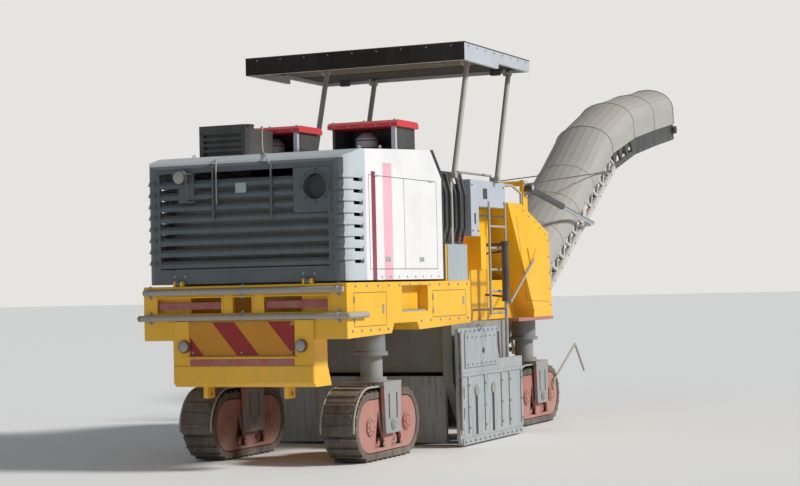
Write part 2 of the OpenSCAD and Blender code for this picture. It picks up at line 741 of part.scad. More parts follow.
// Hoses from the waist to the side cylinders' ports
module hydraulic_hoses() color(RUBBER) place() both() for (h = [[1600, 30], [2140, -30]]) bent_tube([
    [waist_hw + 4, lift_rod_y + 140, h[0] + h[1]], [hw + 20, lift_rod_y + 140, h[0]], [lift_rod_x, lift_rod_y + 46, h[0] + 10]
], 13);

// Pointer on the right front track that shows the driver where it runs
module guide_pointer() color(RAIL) place()
    bent_tube([[pointer_x, front_leg_y + track_straight / 2 + 30, 400], [pointer_x, 6330, 520], [pointer_x, 7190, 940],
        [pointer_x, 7540, 580]], 14);

// Milling drum

pick_lean = 38;

// Pick in its holder, welded to the tube and leaning the way the drum turns
module pick(x, angle) translate([x, drum_y, drum_z]) rotate([angle, 0, 0]) translate([0, 0, drum_tube_r - 14]) rotate([pick_lean, 0, 0]) {
    cylinder(h = holder_len, r = 34, $fn = 20);
    translate([0, 0, holder_len - 1]) cylinder(h = pick_len, r1 = 22, r2 = 7, $fn = 16);
}

holder_len = 66;
pick_len = (drum_tip_r - drum_tube_r + 14) / cos(pick_lean) - holder_len - 4;

module milling_drum() color(DUSTY_RED) place() {
    x_cyl(-drum_w / 2, drum_w / 2, drum_y, drum_z, drum_tube_r);
    x_cyl(-hw + 40, hw - 40, drum_y, drum_z, drum_shaft_r);
    for (side = [-1, 1], s = [0 : spirals - 1], i = [0 : picks_per_spiral - 1]) {
        x = side * (drum_w / 2 - 30 - i * (drum_w / 2 - 60) / picks_per_spiral);
        a = s * 360 / spirals + i * 30;
        pick(x, a);
    }
}

// Side plates and scraper

plate_step = [3670, 910];
skid_out = 14;
rib_out = 12;

module side_plate(side) {
    color(STEEL) place() mirror([side < 0 ? 1 : 0, 0, 0]) {
        difference() {
            union() {
                profile_x(side_plate_x - side_plate_t, side_plate_x, [
                    [side_plate_y0 + 60, ground_gap], [side_plate_y1 - 60, ground_gap], [side_plate_y1, ground_gap + 90],
                    [side_plate_y1, plate_step[1]], [plate_step[0], plate_step[1]], [plate_step[0], side_plate_top - 40],
                    [plate_step[0] - 40, side_plate_top], [side_plate_y0, side_plate_top], [side_plate_y0, ground_gap + 90]
                ]);
                // Wear skid, seam strip, upper cover and upright ribs
                slab([side_plate_x - 1, side_plate_x + skid_out], [side_plate_y0 + 60, side_plate_y1 - 60], [ground_gap, ground_gap + 70]);
                slab([side_plate_x - 1, side_plate_x + rib_out], [side_plate_y0, side_plate_y1], [755, 790]);
                slab([side_plate_x - 1, side_plate_x + rib_out], [side_plate_y0 + 170, plate_step[0] - 80], [850, side_plate_top - 50]);
                for (y = [side_plate_y0 + 40, side_plate_y0 + 260, 3205, 3720, 3980, side_plate_y1 - 60])
                    slab([side_plate_x - 1, side_plate_x + rib_out], [y - 18, y + 18], [ground_gap + 120, 756]);
                slab([side_plate_x - 1, side_plate_x + rib_out], [side_plate_y0 + 20, side_plate_y0 + 70], [789, side_plate_top - 60]);
            }
            for (y = slot_ys) slab([side_plate_x - side_plate_t - 1, side_plate_x + skid_out + 1], [y - slot_hw, y + slot_hw], [110, stud_z + 50]);
            // Round hole and short slots along the rear edge
            x_cyl(side_plate_x - side_plate_t - 1, side_plate_x + skid_out, 3160, 1020, 38);
            for (z = [300, 520]) slab([side_plate_x - side_plate_t - 1, side_plate_x + 1], [side_plate_y0 + 120, side_plate_y0 + 145], [z, z + 120]);
        }
        translate([lift_rod_x, lift_rod_y, plate_step[1] - 30]) cylinder(h = 900, r = 20);
        slab([hw + 30, side_plate_x - side_plate_t + 1], [lift_rod_y - 40, lift_rod_y + 40], [plate_step[1] - 60, plate_step[1] - 20]);
    }
}

module side_plate_left() side_plate(-1);
module side_plate_right() side_plate(1);

module scraper_blade() color(GREY) place()
    slab([-chamber_hw + seat, chamber_hw - seat], [2680, 2680 + scraper_t], [ground_gap + 10, 760]);

// Tracks

function loop_point(u, r, straight) = let (half = PI * r, total = 2 * straight + 2 * half, d = u * total)
    d < straight ? [d - straight / 2, r]
    : d < straight + half ? [straight / 2 + r * sin((d - straight) / r * 180 / PI), r * cos((d - straight) / r * 180 / PI)]
    : d < 2 * straight + half ? [straight / 2 - (d - straight - half), -r]
    : [-straight / 2 - r * sin((d - 2 * straight - half) / r * 180 / PI), -r * cos((d - 2 * straight - half) / r * 180 / PI)];

shoe_r = track_h / 2 - rib_h;
track_straight = track_len - track_h;

// Outline of the loop with a rib on each shoe. Each step is [share of the pitch, height]
module track_outline() {
    steps = [[0.05, 0], [0.3, 0], [0.36, 1], [0.46, 1], [0.52, 0], [0.95, 0]];
    polygon([for (i = [0 : shoe_count - 1], s = steps)
        let (u = (i + s[0]) / shoe_count, p = loop_point(u, shoe_r, track_straight), q = loop_point(u, shoe_r + rib_h, track_straight))
        s[1] > 0 ? q : p]);
}

// Straight-sided outline with round ends
module stadium(r) {
    for (s = [-1, 1]) translate([s * track_straight / 2, 0]) circle(r);
    square([track_straight, 2 * r], center = true);
}

module track_loop(x, y) color(SHOE) place() translate([x, y, track_h / 2]) across(-shoe_w / 2, shoe_w / 2) difference() {
    track_outline();
    stadium(shoe_r - loop_t);
}

// Track unit inside its loop: side plates with two openings, wheels, rollers, fork, guard and leg
module track_frame(x, y) color(DUSTY_RED) place() translate([x, y, 0]) {
    zc = track_h / 2;
    inner_r = shoe_r - loop_t;
    half = track_straight / 2;
    plate_x = shoe_w / 2;
    translate([0, 0, zc]) {
        both() across(plate_x - 34, plate_x - 6) difference() {
            stadium(inner_r - 10);
            for (s = [-1, 1]) polygon([[s * 70, 40 - inner_r], [s * 330, 50 - inner_r], [s * 250, inner_r - 120]]);
        }
        across(-70, 70) square([2 * half, 1.1 * inner_r], center = true);
        for (s = [-1, 1]) {
            x_cyl(60 - plate_x, plate_x - 60, s * half, 0, inner_r - seat);
            x_cyl(-plate_x - 12, plate_x + 12, s * half, 0, 90);
        }
        for (s = [-1.5, -0.5, 0.5, 1.5]) x_cyl(50 - plate_x, plate_x - 50, s * 210, 72 - inner_r, 72 - seat);
        both() slab([69, plate_x - 10], [-60, 60], [-60, 60]);
    }
    // Slotted fork over the top run
    yoke_x = plate_x + 15;
    both() difference() {
        profile_x(yoke_x, yoke_x + yoke_t, [
            [-180, zc - 90], [180, zc - 90], [220, track_h + 20], [220, track_h + 80], [-220, track_h + 80], [-220, track_h + 20]
        ]);
        for (y = [-95, 95]) slab([yoke_x - 1, yoke_x + yoke_t + 1], [y - 14, y + 14], [zc + 60, track_h - 40]);
    }
    slab([-yoke_x - yoke_t, yoke_x + yoke_t], [-220, 220], [track_h + 20, track_h + 80]);
    x_cyl(-yoke_x - yoke_t - 10, yoke_x + yoke_t + 10, 0, zc, 60);
    translate([0, 0, track_h + 79]) {
        cylinder(h = sleeve_top - 40 - track_h - 79, r = leg_r);
        cylinder(h = 40, r = leg_r + 40);
    }
    // Guard strip over the rear of the loop
    translate([0, 0, zc]) across(-plate_x, plate_x) intersection() {
        difference() {
            stadium(zc + guard_gap + guard_t);
            stadium(zc + guard_gap);
        }
        translate([-half - 2 * zc, -40]) square([half + 2 * zc - 200, 2 * zc]);
    }
}

guard_gap = 24;
guard_t = 12;
pointer_x = track_x + shoe_w / 2 + 12 + 14 + seat;

module track_rear_left() track_loop(-track_x, rear_leg_y);
module track_rear_right() track_loop(track_x, rear_leg_y);
module track_front_left() track_loop(-track_x, front_leg_y);
module track_front_right() track_loop(track_x, front_leg_y);
module track_frame_rear_left() track_frame(-track_x, rear_leg_y);
module track_frame_rear_right() track_frame(track_x, rear_leg_y);
module track_frame_front_left() track_frame(-track_x, front_leg_y);
module track_frame_front_right() track_frame(track_x, front_leg_y);

// Canopy

module canopy_posts(foot_y) color(RAIL) place() for (x = post_xs) translate([x, foot_y, post_foot_z]) rotate([-post_lean, 0, 0]) {
    difference() {
        union() {
            cylinder(h = post_len, r = post_r);
            for (z = [0, post_len]) x_cyl(-post_r, post_r, 0, z, post_r + 8);
        }
        for (z = [0, post_len]) x_cyl(-post_r - 1, post_r + 1, 0, z, post_pin_r + pin_gap);
    }
}

module canopy_rear_posts() canopy_posts(rear_foot_y);
module canopy_front_posts() canopy_posts(front_foot_y);

fascia_step = 60;
rib_w = 40;

module canopy_roof() color(LIGHT_GREY) place() {
    difference() {
        slab([-roof_hw, roof_hw], [roof_y0, roof_y1], [roof_under, roof_z]);
        slab([40 - roof_hw, roof_hw - 40], [roof_y0 + 40, roof_y1 - 40], [roof_under - 1, roof_z - 40]);
        // The edge is shallower in front
        slab([-roof_hw - 1, roof_hw + 1], [(roof_y0 + roof_y1) / 2, roof_y1 + 1], [roof_under - 1, roof_under + fascia_step]);
    }
    // Ribs under the sheet
    for (x = [-0.5, 0, 0.5]) slab([x * roof_hw - rib_w / 2, x * roof_hw + rib_w / 2], [roof_y0 + 39, roof_y1 - 39], [roof_z - 90, roof_z - 39]);
    for (y = [rear_head_y - 60, front_head_y - 100]) slab([39 - roof_hw, roof_hw - 39], [y, y + rib_w], [roof_z - 90, roof_z - 39]);
    // Lugs and pins at the heads of the posts
    for (px = post_xs, y = [rear_head_y, front_head_y]) let (x = px - post_r - seat) {
        slab([x - 30, x], [y - 30, y + 30], [post_head_z - 30, roof_z - 39]);
        x_cyl(x - 1, px + post_r, y, post_head_z, post_pin_r);
    }
}

// Discharge conveyor

module at_pivot() translate([0, pivot_y, pivot_z]) children();
module along_conveyor() at_pivot() rotate([conv_rise, 0, 0]) children();

module slew_cradle() color(YELLOW) place() {
    translate([0, pivot_y, nose_z + seat]) cylinder(h = 40, r = 240);
    slab([-cradle_x - cradle_t, cradle_x + cradle_t], [pivot_y - 100, pivot_y + 200], [nose_z + seat, nose_z + seat + 40]);
    both() difference() {
        profile_x(cradle_x, cradle_x + cradle_t, [
            [pivot_y - 100, nose_z + seat], [pivot_y + 200, nose_z + seat], [pivot_y + 100, mast_z], [pivot_y - 60, mast_z]
        ]);
        x_cyl(cradle_x - 1, cradle_x + cradle_t + 1, pivot_y, pivot_z, pin_r + pin_gap);
    }
    bar([-cradle_x - 1, pivot_y + 20, mast_z - 40], [cradle_x + 1, pivot_y + 20, mast_z - 40], 35);
    // Upper pins of the lift cylinders
    both() x_cyl(cradle_x, lift_x + 55, head_y, head_z, lift_pin_r);
}

// The conveyor's middle line: a straight part, then three sections that each bend further down
function heading(k) = k < 1 ? 0 : -end_bend - [0, 5, 6][min(k, 3) - 1];
function knee(k) = k == 0 ? [0, 0] : k == 1 ? [conv_straight, 0]
    : knee(k - 1) + end_section * [cos(heading(k - 1)), sin(heading(k - 1))];
// Direction along the mitre at knee k, stretched so that heights stay square to the band
function mitre(k) = let (a = (heading(k) + heading(k - 1)) / 2) [-sin(a), cos(a)] / cos((heading(k) - heading(k - 1)) / 2);
function along(k, t) = knee(k) + t * mitre(k);

end_low = conv_low + 60;
end_high = conv_high + 190;
skirt_low = 110;
cover_t = 12;
cover_x = conv_hw + seat;   // inner face of the cover's skirts
pulley_r = 60;

lattice = 340;

// Triangular opening of the truss, upright or hanging
module lattice_hole(s, hanging) {
    low = conv_low + chord_h + 12;
    high = skirt_low - 12;
    if (hanging == 0) polygon([[s, low], [s + lattice - 60, low], [s + lattice / 2 - 30, high]]);
    else polygon([[s + lattice / 2 + 10, high], [s + lattice - 30, low + 30], [s + 3 * lattice / 2 - 70, high]]);
}

module conveyor_frame() color(WHITE) place() {
    along_conveyor() both() {
        across(conv_hw - 40, conv_hw) difference() {
            polygon([[conv_tail, conv_low], along(1, conv_low), along(1, conv_high), [250, conv_high], [conv_tail, 120]]);
            // Lattice between the chord and the cover's skirt, left whole where the pins go through
            for (s = [320 : lattice : eye_s - 350], d = [0, 1]) lattice_hole(s, d);
            for (s = [eye_s + 130 : lattice : conv_straight - 300], d = [0, 1]) lattice_hole(s, d);
        }
        // Lower chord
        across(conv_hw - 60, conv_hw + 14) polygon([
            [conv_tail, conv_low], along(1, conv_low), along(1, conv_low + chord_h), [conv_tail, conv_low + chord_h]
        ]);
    }
    both() x_cyl(conv_hw - 1, cradle_x + cradle_t, pivot_y, pivot_z, pin_r);
    // Pins that carry the eyes of the lift rods
    both() x_cyl(conv_hw - 1, lift_x - 28 - seat, eye_y, eye_z, 45);
}

// Cross tubes between the trusses, and the rollers under the belt
module conveyor_rollers() color(DARK) place() along_conveyor() {
    for (s = [conv_tail + 60, 1000, 2100, 3200, conv_straight - 200]) x_cyl(-conv_hw + 60, conv_hw - 60, s, conv_low + 35, 30);
    for (s = [600, 1600, 2700, 3800]) x_cyl(-conv_hw + 40, conv_hw - 40, s, -40, 30);
}

// Half of the cover's section, from the skirt's lower edge to the crown
function cover_half(grow, spring) = concat([[cover_x + grow, skirt_low]], [for (i = [0 : 6]) let (a = i * 15)
    [(cover_x + grow) * cos(a), spring + (arch_h + grow) * sin(a)]]);
function mirrored(half) = concat(half, [for (i = [len(half) - 2 : -1 : 0]) [-half[i][0], half[i][1]]]);
// Point of the cover at knee k: the section's height runs along the mitre
function cover_ring(k, s, spring, grow) = [for (q = mirrored(cover_half(grow, spring)))
    let (p = s < 0 ? along(k, q[1]) : [s, q[1]]) [q[0], p[0], p[1]]];

// Each station is [knee, place along the straight part or -1 at a knee, height of the arch's foot]
cover_stations = [[0, 350, conv_high], [0, conv_straight - 900, conv_high], [1, -1, conv_high + 60], [2, -1, end_high - 10],
    [3, -1, end_high], [4, -1, end_high]];

// Smooth arched sheet that covers the belt all the way, in one piece
module conveyor_cover() color(COVER) place() along_conveyor() {
    n = 2 * len(cover_half(0, 0)) - 1;
    outer = [for (c = cover_stations) cover_ring(c[0], c[1], c[2], cover_t)];
    inner = [for (c = cover_stations) cover_ring(c[0], c[1], c[2], 0)];
    m = len(outer);
    points = concat([for (r = outer) each r], [for (r = inner) each r]);
    off = m * n;
    last = (m - 1) * n;
    polyhedron(points, concat(
        [for (k = [0 : m - 2], i = [0 : n - 2]) let (a = k * n + i) each [[a, a + 1, a + n + 1], [a, a + n + 1, a + n]]],
        [for (k = [0 : m - 2], i = [0 : n - 2]) let (a = off + k * n + i) each [[a, a + n + 1, a + 1], [a, a + n, a + n + 1]]],
        [for (i = [0 : n - 2]) [i, off + i, off + i + 1, i + 1]],
        [for (i = [0 : n - 2]) let (a = last + i) [a, a + 1, off + a + 1, off + a]],
        [for (k = [0 : m - 2]) let (a = k * n) each [[a, a + n, off + a + n], [a, off + a + n, off + a]]],
        [for (k = [0 : m - 2]) let (a = k * n + n - 1) each [[a, off + a, off + a + n], [a, off + a + n, a + n]]]
    ));
}

module conveyor_belt() color(RUBBER) place() along_conveyor() across(-conv_hw + 70, conv_hw - 70)
    polygon(concat([[conv_tail + 20, 80], [conv_tail + 20, -10 + seat]], band_points(-10 + seat, 80)));

// The belt's two faces from the straight part to the last knee, which it leaves short by the pulley
function band_points(low, high) = concat([for (k = [1 : 3]) along(k, low)],
    [tip_point(low), tip_point(high)], [for (k = [3 : -1 : 1]) along(k, high)]);
function tip_point(t) = knee(4) - 90 * [cos(heading(3)), sin(heading(3))] + t * mitre(4);

// Dark side bands of the curved end, tied by cross tubes and by the head pulley
module conveyor_head() color(DARK) place() along_conveyor() translate([0, seat, 0]) {
    both() across(conv_hw - 34, conv_hw) difference() {
        polygon(concat([for (k = [1 : 4]) along(k, conv_low)], [for (k = [4 : -1 : 2]) along(k, end_high - 20)],
            [along(1, conv_high + 50)]));
        // Open lattice in the first section
        for (i = [0 : 2]) let (p = along(1, 0), s = 130 + i * 330) translate(p) rotate(heading(1)) polygon([
            [s, end_low + 20], [s + 250, end_low + 20], [s + 125, conv_high - 10]
        ]);
    }
    for (k = [2, 3]) let (p = along(k, conv_low + 45)) x_cyl(33 - conv_hw, conv_hw - 33, p[0], p[1], 28);
    let (p = tip_point(35)) x_cyl(33 - conv_hw, conv_hw - 33, p[0] + 20 + pulley_r, p[1], pulley_r);
}

// Lift cylinders. Their upper pins sit on the mast, their rod eyes on the conveyor's sides
module along_lift() translate([0, head_y, head_z]) rotate([lift_tilt, 0, 0]) children();

module lift_barrels() color(DARK) place() both() {
    along_lift() translate([lift_x, 0, 0]) {
        difference() {
            union() {
                translate([0, 20, 0]) rotate([-90, 0, 0]) cylinder(h = 1330, r = 46);
                x_cyl(-48, 48, 0, 0, 52);
            }
            translate([0, 70, 0]) rotate([-90, 0, 0]) cylinder(h = 1350, r = 28 + pin_gap);
            x_cyl(-60, 60, 0, 0, lift_pin_r + pin_gap);
        }
    }
}

module lift_rods() color(CHROME) place() both() along_lift() translate([lift_x, 700, 0]) rotate([-90, 0, 0]) cylinder(h = lift_len - 700, r = 28);

main_frame();
rear_box();
hazard_board();
guard_rails();
rear_lamps();
engine_block();
cooler_pack();
platform_walls();
platform_rails();
side_consoles();
control_desk();
operator_seat();
access_bays();
step_boxes();
extinguisher();
front_block();
front_step_bars();
drum_housing();
primary_trough();
primary_belt();
nose_frame();
side_cylinders();
hydraulic_hoses();
guide_pointer();
hood_shell();
hood_tail();
rear_grille();
hood_lamps();
intake_boxes();
air_cleaners();
intake_lids();
exhaust_box();
milling_drum();
side_plate_left();
side_plate_right();
scraper_blade();
track_frame_rear_left();
track_frame_rear_right();
track_frame_front_left();
track_frame_front_right();
track_rear_left();
track_rear_right();
track_front_left();
track_front_right();
canopy_rear_posts();
canopy_roof();
canopy_front_posts();
slew_cradle();
conveyor_frame();
conveyor_rollers();
conveyor_cover();
conveyor_belt();
conveyor_head();
lift_barrels();
lift_rods();
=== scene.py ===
"""Tracked cold planer: finishes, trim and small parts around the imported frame."""

import json
import logging
import math
from collections.abc import Iterable, Sequence
from dataclasses import dataclass
from enum import Enum, IntEnum
from functools import partial

import bmesh
import bpy
from mathutils import Matrix, Vector


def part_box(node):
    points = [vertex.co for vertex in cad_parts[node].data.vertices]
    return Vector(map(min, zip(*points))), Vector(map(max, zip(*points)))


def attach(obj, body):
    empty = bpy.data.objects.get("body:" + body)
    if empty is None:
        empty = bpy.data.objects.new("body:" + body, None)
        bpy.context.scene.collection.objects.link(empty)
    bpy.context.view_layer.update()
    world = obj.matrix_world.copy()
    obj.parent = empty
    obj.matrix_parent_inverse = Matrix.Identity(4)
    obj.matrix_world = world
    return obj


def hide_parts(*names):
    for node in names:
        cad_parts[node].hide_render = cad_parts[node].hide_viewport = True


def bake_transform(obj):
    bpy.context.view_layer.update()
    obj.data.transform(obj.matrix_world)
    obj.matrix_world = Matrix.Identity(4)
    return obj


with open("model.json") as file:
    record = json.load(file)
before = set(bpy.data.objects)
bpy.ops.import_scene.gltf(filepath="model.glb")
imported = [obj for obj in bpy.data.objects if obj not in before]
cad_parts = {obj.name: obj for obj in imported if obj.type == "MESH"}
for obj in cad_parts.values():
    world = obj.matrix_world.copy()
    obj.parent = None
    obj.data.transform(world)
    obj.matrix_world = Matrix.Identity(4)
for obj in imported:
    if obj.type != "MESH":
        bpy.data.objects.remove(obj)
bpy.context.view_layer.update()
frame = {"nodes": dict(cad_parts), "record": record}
LOG = logging.getLogger("planer")

Pair = tuple[float, float]
Triple = tuple[float, float, float]
Quad = tuple[float, float, float, float]
Layers = list[tuple[object, str]]
Socket = bpy.types.NodeSocket

REAR_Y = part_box("hazard_board")[0].y + 0.024  # rear face of the chassis
HALF_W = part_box("hood_shell")[1].x  # half the width of chassis and hood
SUNK = 0.001  # depth to which small parts stand in the sheet that carries them
M8, M10, M12, M14 = 0.014, 0.016, 0.018, 0.020  # widths of the heads of bolts of about these sizes
TRACK_X = 0.80  # middle of a track and of its leg, from the machine's middle
OUT_FRONT, OUT_REAR, UP = Vector((0, 1, 0)), Vector((0, -1, 0)), Vector((0, 0, 1))
OUT_LEFT, OUT_RIGHT = Vector((-1, 0, 0)), Vector((1, 0, 0))


# Helpers


class Side(IntEnum):
    """Side of the machine. The value is the sign of its x."""

    LEFT = -1
    RIGHT = 1

    @property
    def word(self) -> str:
        """Name in the bodies and pieces."""
        return self.name.lower()

    @property
    def out(self) -> Vector:
        """Direction away from the machine's middle."""
        return Vector((self, 0, 0))


class End(Enum):
    """End of the machine. The value is how far its legs stand forward of the rear face."""

    REAR = 1.24
    FRONT = 5.80

    @property
    def word(self) -> str:
        """Name in the bodies and pieces."""
        return self.name.lower()


def linear(code: str) -> Quad:
    """Turns an sRGB hex colour into linear light.

    Args:
        code: Colour as #RRGGBB.

    Returns:
        Red, green, blue and an alpha of 1.
    """
    shares = [int(code[i : i + 2], 16) / 255 for i in (1, 3, 5)]
    light = [s / 12.92 if s <= 0.04045 else ((s + 0.055) / 1.055) ** 2.4 for s in shares]
    return (*light, 1.0)


def add_node(tree: bpy.types.NodeTree, kind: str, links: dict | tuple = (), **settings: object) -> bpy.types.Node:
    """Adds one node with its settings and links.

    Args:
        tree: Node tree that takes it.
        kind: Name of the node type after "ShaderNode".
        links: What feeds the inputs, in order or by name or number: a node's first output, a socket or a plain value.
        **settings: Properties of the node.

    Returns:
        The node.
    """
    node = tree.nodes.new(f"ShaderNode{kind}")
    for key, value in settings.items():
        setattr(node, key, value)
    for key, value in (links if isinstance(links, dict) else dict(enumerate(links))).items():
        if isinstance(value, bpy.types.Node):
            value = value.outputs[0]
        if isinstance(value, Socket):
            tree.links.new(value, node.inputs[key])
        else:
            node.inputs[key].default_value = value
    return node


def spot(x: float, y: float, z: float) -> Vector:
    """Point in the row frame from one counted forward of the chassis' rear face."""
    return Vector((x, y + REAR_Y, z))


def arc_points(centre: Vector, across: Vector, along: Vector, angles: Iterable[float]) -> list[Vector]:
    """Points of an arc.

    Args:
        centre: Middle of the arc.
        across: Radius vector at 0 degrees.
        along: Radius vector at 90 degrees.
        angles: Angles in degrees.

    Returns:
        One point for each angle.
    """
    turns = [math.radians(a) for a in angles]
    return [centre + across * math.cos(t) + along * math.sin(t) for t in turns]


def round_points(centre: Vector, across: Vector, along: Vector, count: int) -> list[Vector]:
    """Points evenly round a circle. Args: as in arc_points, and their count. Returns: the points."""
    return arc_points(centre, across, along, [360 * k / count for k in range(count)])


# Finishes


@dataclass(frozen=True)
class Finish:
    """What every finish shares: its own colour, the road dust on it and the wear of its edges.

    Sprayed enamel on steel is the plain case: smooth, softly glossy, with grey-brown dust
    low down, on ledges and in streaks, and chips along the edges. Dust is the share at the
    ground and at 2.6 m, and the grain is drawn coarse enough to show from 20 m away.
    """

    name: str
    colour: str
    roughness: float = 0.38
    metallic: float = 0.0
    coat: float = 0.15
    dust: Pair = (0.55, 0.10)
    ledge: float = 0.30
    wear: float = 0.5
    bare: str = "#6A5F55"
    shade: float = 0.12
    grain_mm: float = 3.0
    grain: float = 0.10
    edge_mm: float = 7.0
    dust_colour: str = "#A59A8C"

    def layers(self, add: partial, place: Socket) -> Layers:
        """Other colours laid over its own before wear and dust.

        Args:
            add: Adds a node to the material's tree.
            place: Object coordinates, which are the row frame in metres.

        Returns:
            A mask and a hex colour for each layer, lowest first.
        """
        return []

    def build(self) -> bpy.types.Material:
        """Makes the material.

        Returns:
            The material, named for this finish.
        """
        material = bpy.data.materials.new(self.name)
        material.use_nodes = True
        material.diffuse_color = linear(self.colour)
        material.node_tree.nodes.clear()
        add = partial(add_node, material.node_tree)
        place = add("TexCoord").outputs["Object"]
        normal = add("NewGeometry").outputs["Normal"]
        # Clouds of 0.6 m, streaks 95 mm wide and 0.95 m long that rain leaves on upright sheets, and the grain
        cloud = add("TexNoise", {"Vector": place, "Scale": 1.6, "Detail": 6.0, "Roughness": 0.62})
        stretch = add("Mapping", {"Vector": place, "Scale": (7.0, 7.0, 0.7)})
        streak = add("TexNoise", {"Vector": stretch, "Scale": 1.5, "Detail": 5.0})
        speck = add("TexNoise", {"Vector": place, "Scale": 1000 / (self.grain_mm * 4), "Detail": 3.0})
        # Dust: a level that falls with height, broken up by clouds and streaks, and more of it on what faces up
        height = add("SeparateXYZ", (place,)).outputs["Z"]
        level = add("MapRange", (height, 0.1, 2.6, *self.dust))
        broken = add("Math", (cloud, streak), operation="ADD")
        spread = add("MapRange", (broken, 0.72, 1.28, 0.25, 1.6))
        lying = add("Math", (level, spread), operation="MULTIPLY")
        up = add("SeparateXYZ", (normal,)).outputs["Z"]
        shelf = add("MapRange", (up, 0.35, 1.0, 0.0, self.ledge))
        both = add("Math", (lying, shelf), operation="ADD")
        fine = add("MapRange", (speck, 0.3, 0.7, 0.75, 1.15))
        dust = add("Math", (both, fine), operation="MULTIPLY", use_clamp=True)
        # Rounded normals at sharp edges, and chips in patches of 43 mm where they differ from the flat ones
        soft = add("Bevel", {"Radius": self.edge_mm / 1000}, samples=4)
        turn = add("VectorMath", (soft, normal), operation="DOT_PRODUCT").outputs["Value"]
        edge = add("MapRange", (turn, 0.985, 0.9))
        patch = add("TexNoise", {"Vector": place, "Scale": 23.0, "Detail": 5.0, "Roughness": 0.7})
        worn = add("MapRange", (patch, 0.66 - 0.2 * self.wear, 0.74 - 0.2 * self.wear))
        chips = add("Math", (edge, worn), operation="MULTIPLY", use_clamp=True)
        # Colour: its own with its layers and with light and dark clouds, then chips, then dust
        mottle = add("MapRange", (cloud, 0.3, 0.7, 1.0 - self.shade, 1.0 + 0.5 * self.shade))
        colour: object = linear(self.colour)
        for mask, code in self.layers(add, place):
            colour = add("Mix", {0: mask, 6: colour, 7: linear(code)}, data_type="RGBA").outputs[2]
        colour = add("Mix", {0: 1.0, 6: colour, 7: mottle}, data_type="RGBA", blend_type="MULTIPLY").outputs[2]
        for mask, code in ((chips, self.bare), (dust, self.dust_colour)):
            colour = add("Mix", {0: mask, 6: colour, 7: linear(code)}, data_type="RGBA").outputs[2]
        rough = add("MapRange", {"Value": dust, "From Max": 0.8, "To Min": self.roughness, "To Max": 0.9})
        bump = add("Bump", {
            "Height": speck, "Normal": soft, "Strength": self.grain, "Distance": self.grain_mm / 1000})
        shader = add("BsdfPrincipled", {
            "Base Color": colour, "Roughness": rough, "Normal": bump, "Metallic": self.metallic,
            "Coat Weight": self.coat, "Coat Roughness": 0.25})
        add("OutputMaterial", {"Surface": shader})
        return material


@dataclass(frozen=True)
class StripedHood(Finish):
    """White hood enamel with one maroon and one pink band up each side, square to the ground, and a black edge."""

    bands: tuple[tuple[float, float, float, str], ...] = (
        (0.62, 0.72, 2.90, "#8E2748"),
        (0.90, 1.12, 3.00, "#F1B9C4"),
    )
    skin: float = 0.02
    edge: str = "#23272A"
    edge_sum: float = 5.33
    edge_y: float = 2.43

    def layers(self, add: partial, place: Socket) -> Layers:
        """Bands on the sides only, and the strip down the front corner. Args and Returns: see Finish.layers."""
        parts = add("SeparateXYZ", (place,)).outputs
        found: Layers = []
        for back, front, top, code in self.bands:
            along = add("Math", (parts["Y"], REAR_Y + (back + front) / 2, (front - back) / 2), operation="COMPARE")
            below = add("Math", (parts["Z"], top), operation="LESS_THAN")
            side = add("Math", (parts["X"],), operation="ABSOLUTE")
            outer = add("Math", (side, HALF_W - self.skin), operation="GREATER_THAN")
            inside = add("Math", (along, below), operation="MULTIPLY")
            found.append((add("Math", (inside, outer), operation="MULTIPLY"), code))
        far = add("Math", (parts["Y"], parts["Z"]), operation="ADD")
        sloped = add("Math", (far, REAR_Y + self.edge_sum), operation="GREATER_THAN")
        ahead = add("Math", (parts["Y"], REAR_Y + self.edge_y), operation="GREATER_THAN")
        return found + [(add("Math", (sloped, ahead), operation="MAXIMUM"), self.edge)]


@dataclass(frozen=True)
class HazardBands(Finish):
    """Reflective red sheet with yellow bands that fall to the right."""

    second: str = "#D08A08"
    pitch: float = 0.62
    red_share: float = 0.40
    start: float = -0.37
    lean: float = 0.84

    def layers(self, add: partial, place: Socket) -> Layers:
        """Bands by the distance along a slanted line. Args and Returns: see Finish.layers."""
        parts = add("SeparateXYZ", (place,)).outputs
        down = add("Math", (parts["Z"], self.lean, parts["X"]), operation="MULTIPLY_ADD")
        moved = add("Math", (down, self.start), operation="SUBTRACT")
        turn = add("Math", (moved, self.pitch), operation="FLOORED_MODULO")
        return [(add("Math", (turn, self.pitch * self.red_share), operation="GREATER_THAN"), self.second)]


@dataclass(frozen=True)
class ScrapedPlate(Finish):
    """Grey enamel on plate steel, scraped through by stones in upright scratches 33 mm wide and 0.45 m long."""

    scrape: float = 0.5
    scratches: Triple = (30.0, 30.0, 2.2)

    def layers(self, add: partial, place: Socket) -> Layers:
        """Bare steel in scratches. Args and Returns: see Finish.layers."""
        long = add("Mapping", {"Vector": place, "Scale": self.scratches})
        scratch = add("TexNoise", {"Vector": long, "Scale": 1.0, "Detail": 8.0, "Roughness": 0.8})
        return [(add("MapRange", (scratch, 0.62 - 0.2 * self.scrape, 0.7 - 0.2 * self.scrape)), self.bare)]


@dataclass(frozen=True)
class PickSteel(Finish):
    """Cast and welded steel that the cutting polishes bright near the cutting circle."""

    axis: Triple = (0.0, 0.0, 0.0)
    bright_from: float = 0.4
    fade: float = 0.04
    polish: str = "#A7A29A"

    def layers(self, add: partial, place: Socket) -> Layers:
        """Bright beyond a distance from the drum's axis. Args and Returns: see Finish.layers."""
        flat = add("VectorMath", (place, (0.0, 1.0, 1.0)), operation="MULTIPLY")
        reach = add("VectorMath", (flat, self.axis), operation="DISTANCE").outputs["Value"]
        return [(add("MapRange", (reach, self.bright_from, self.bright_from + self.fade)), self.polish)]


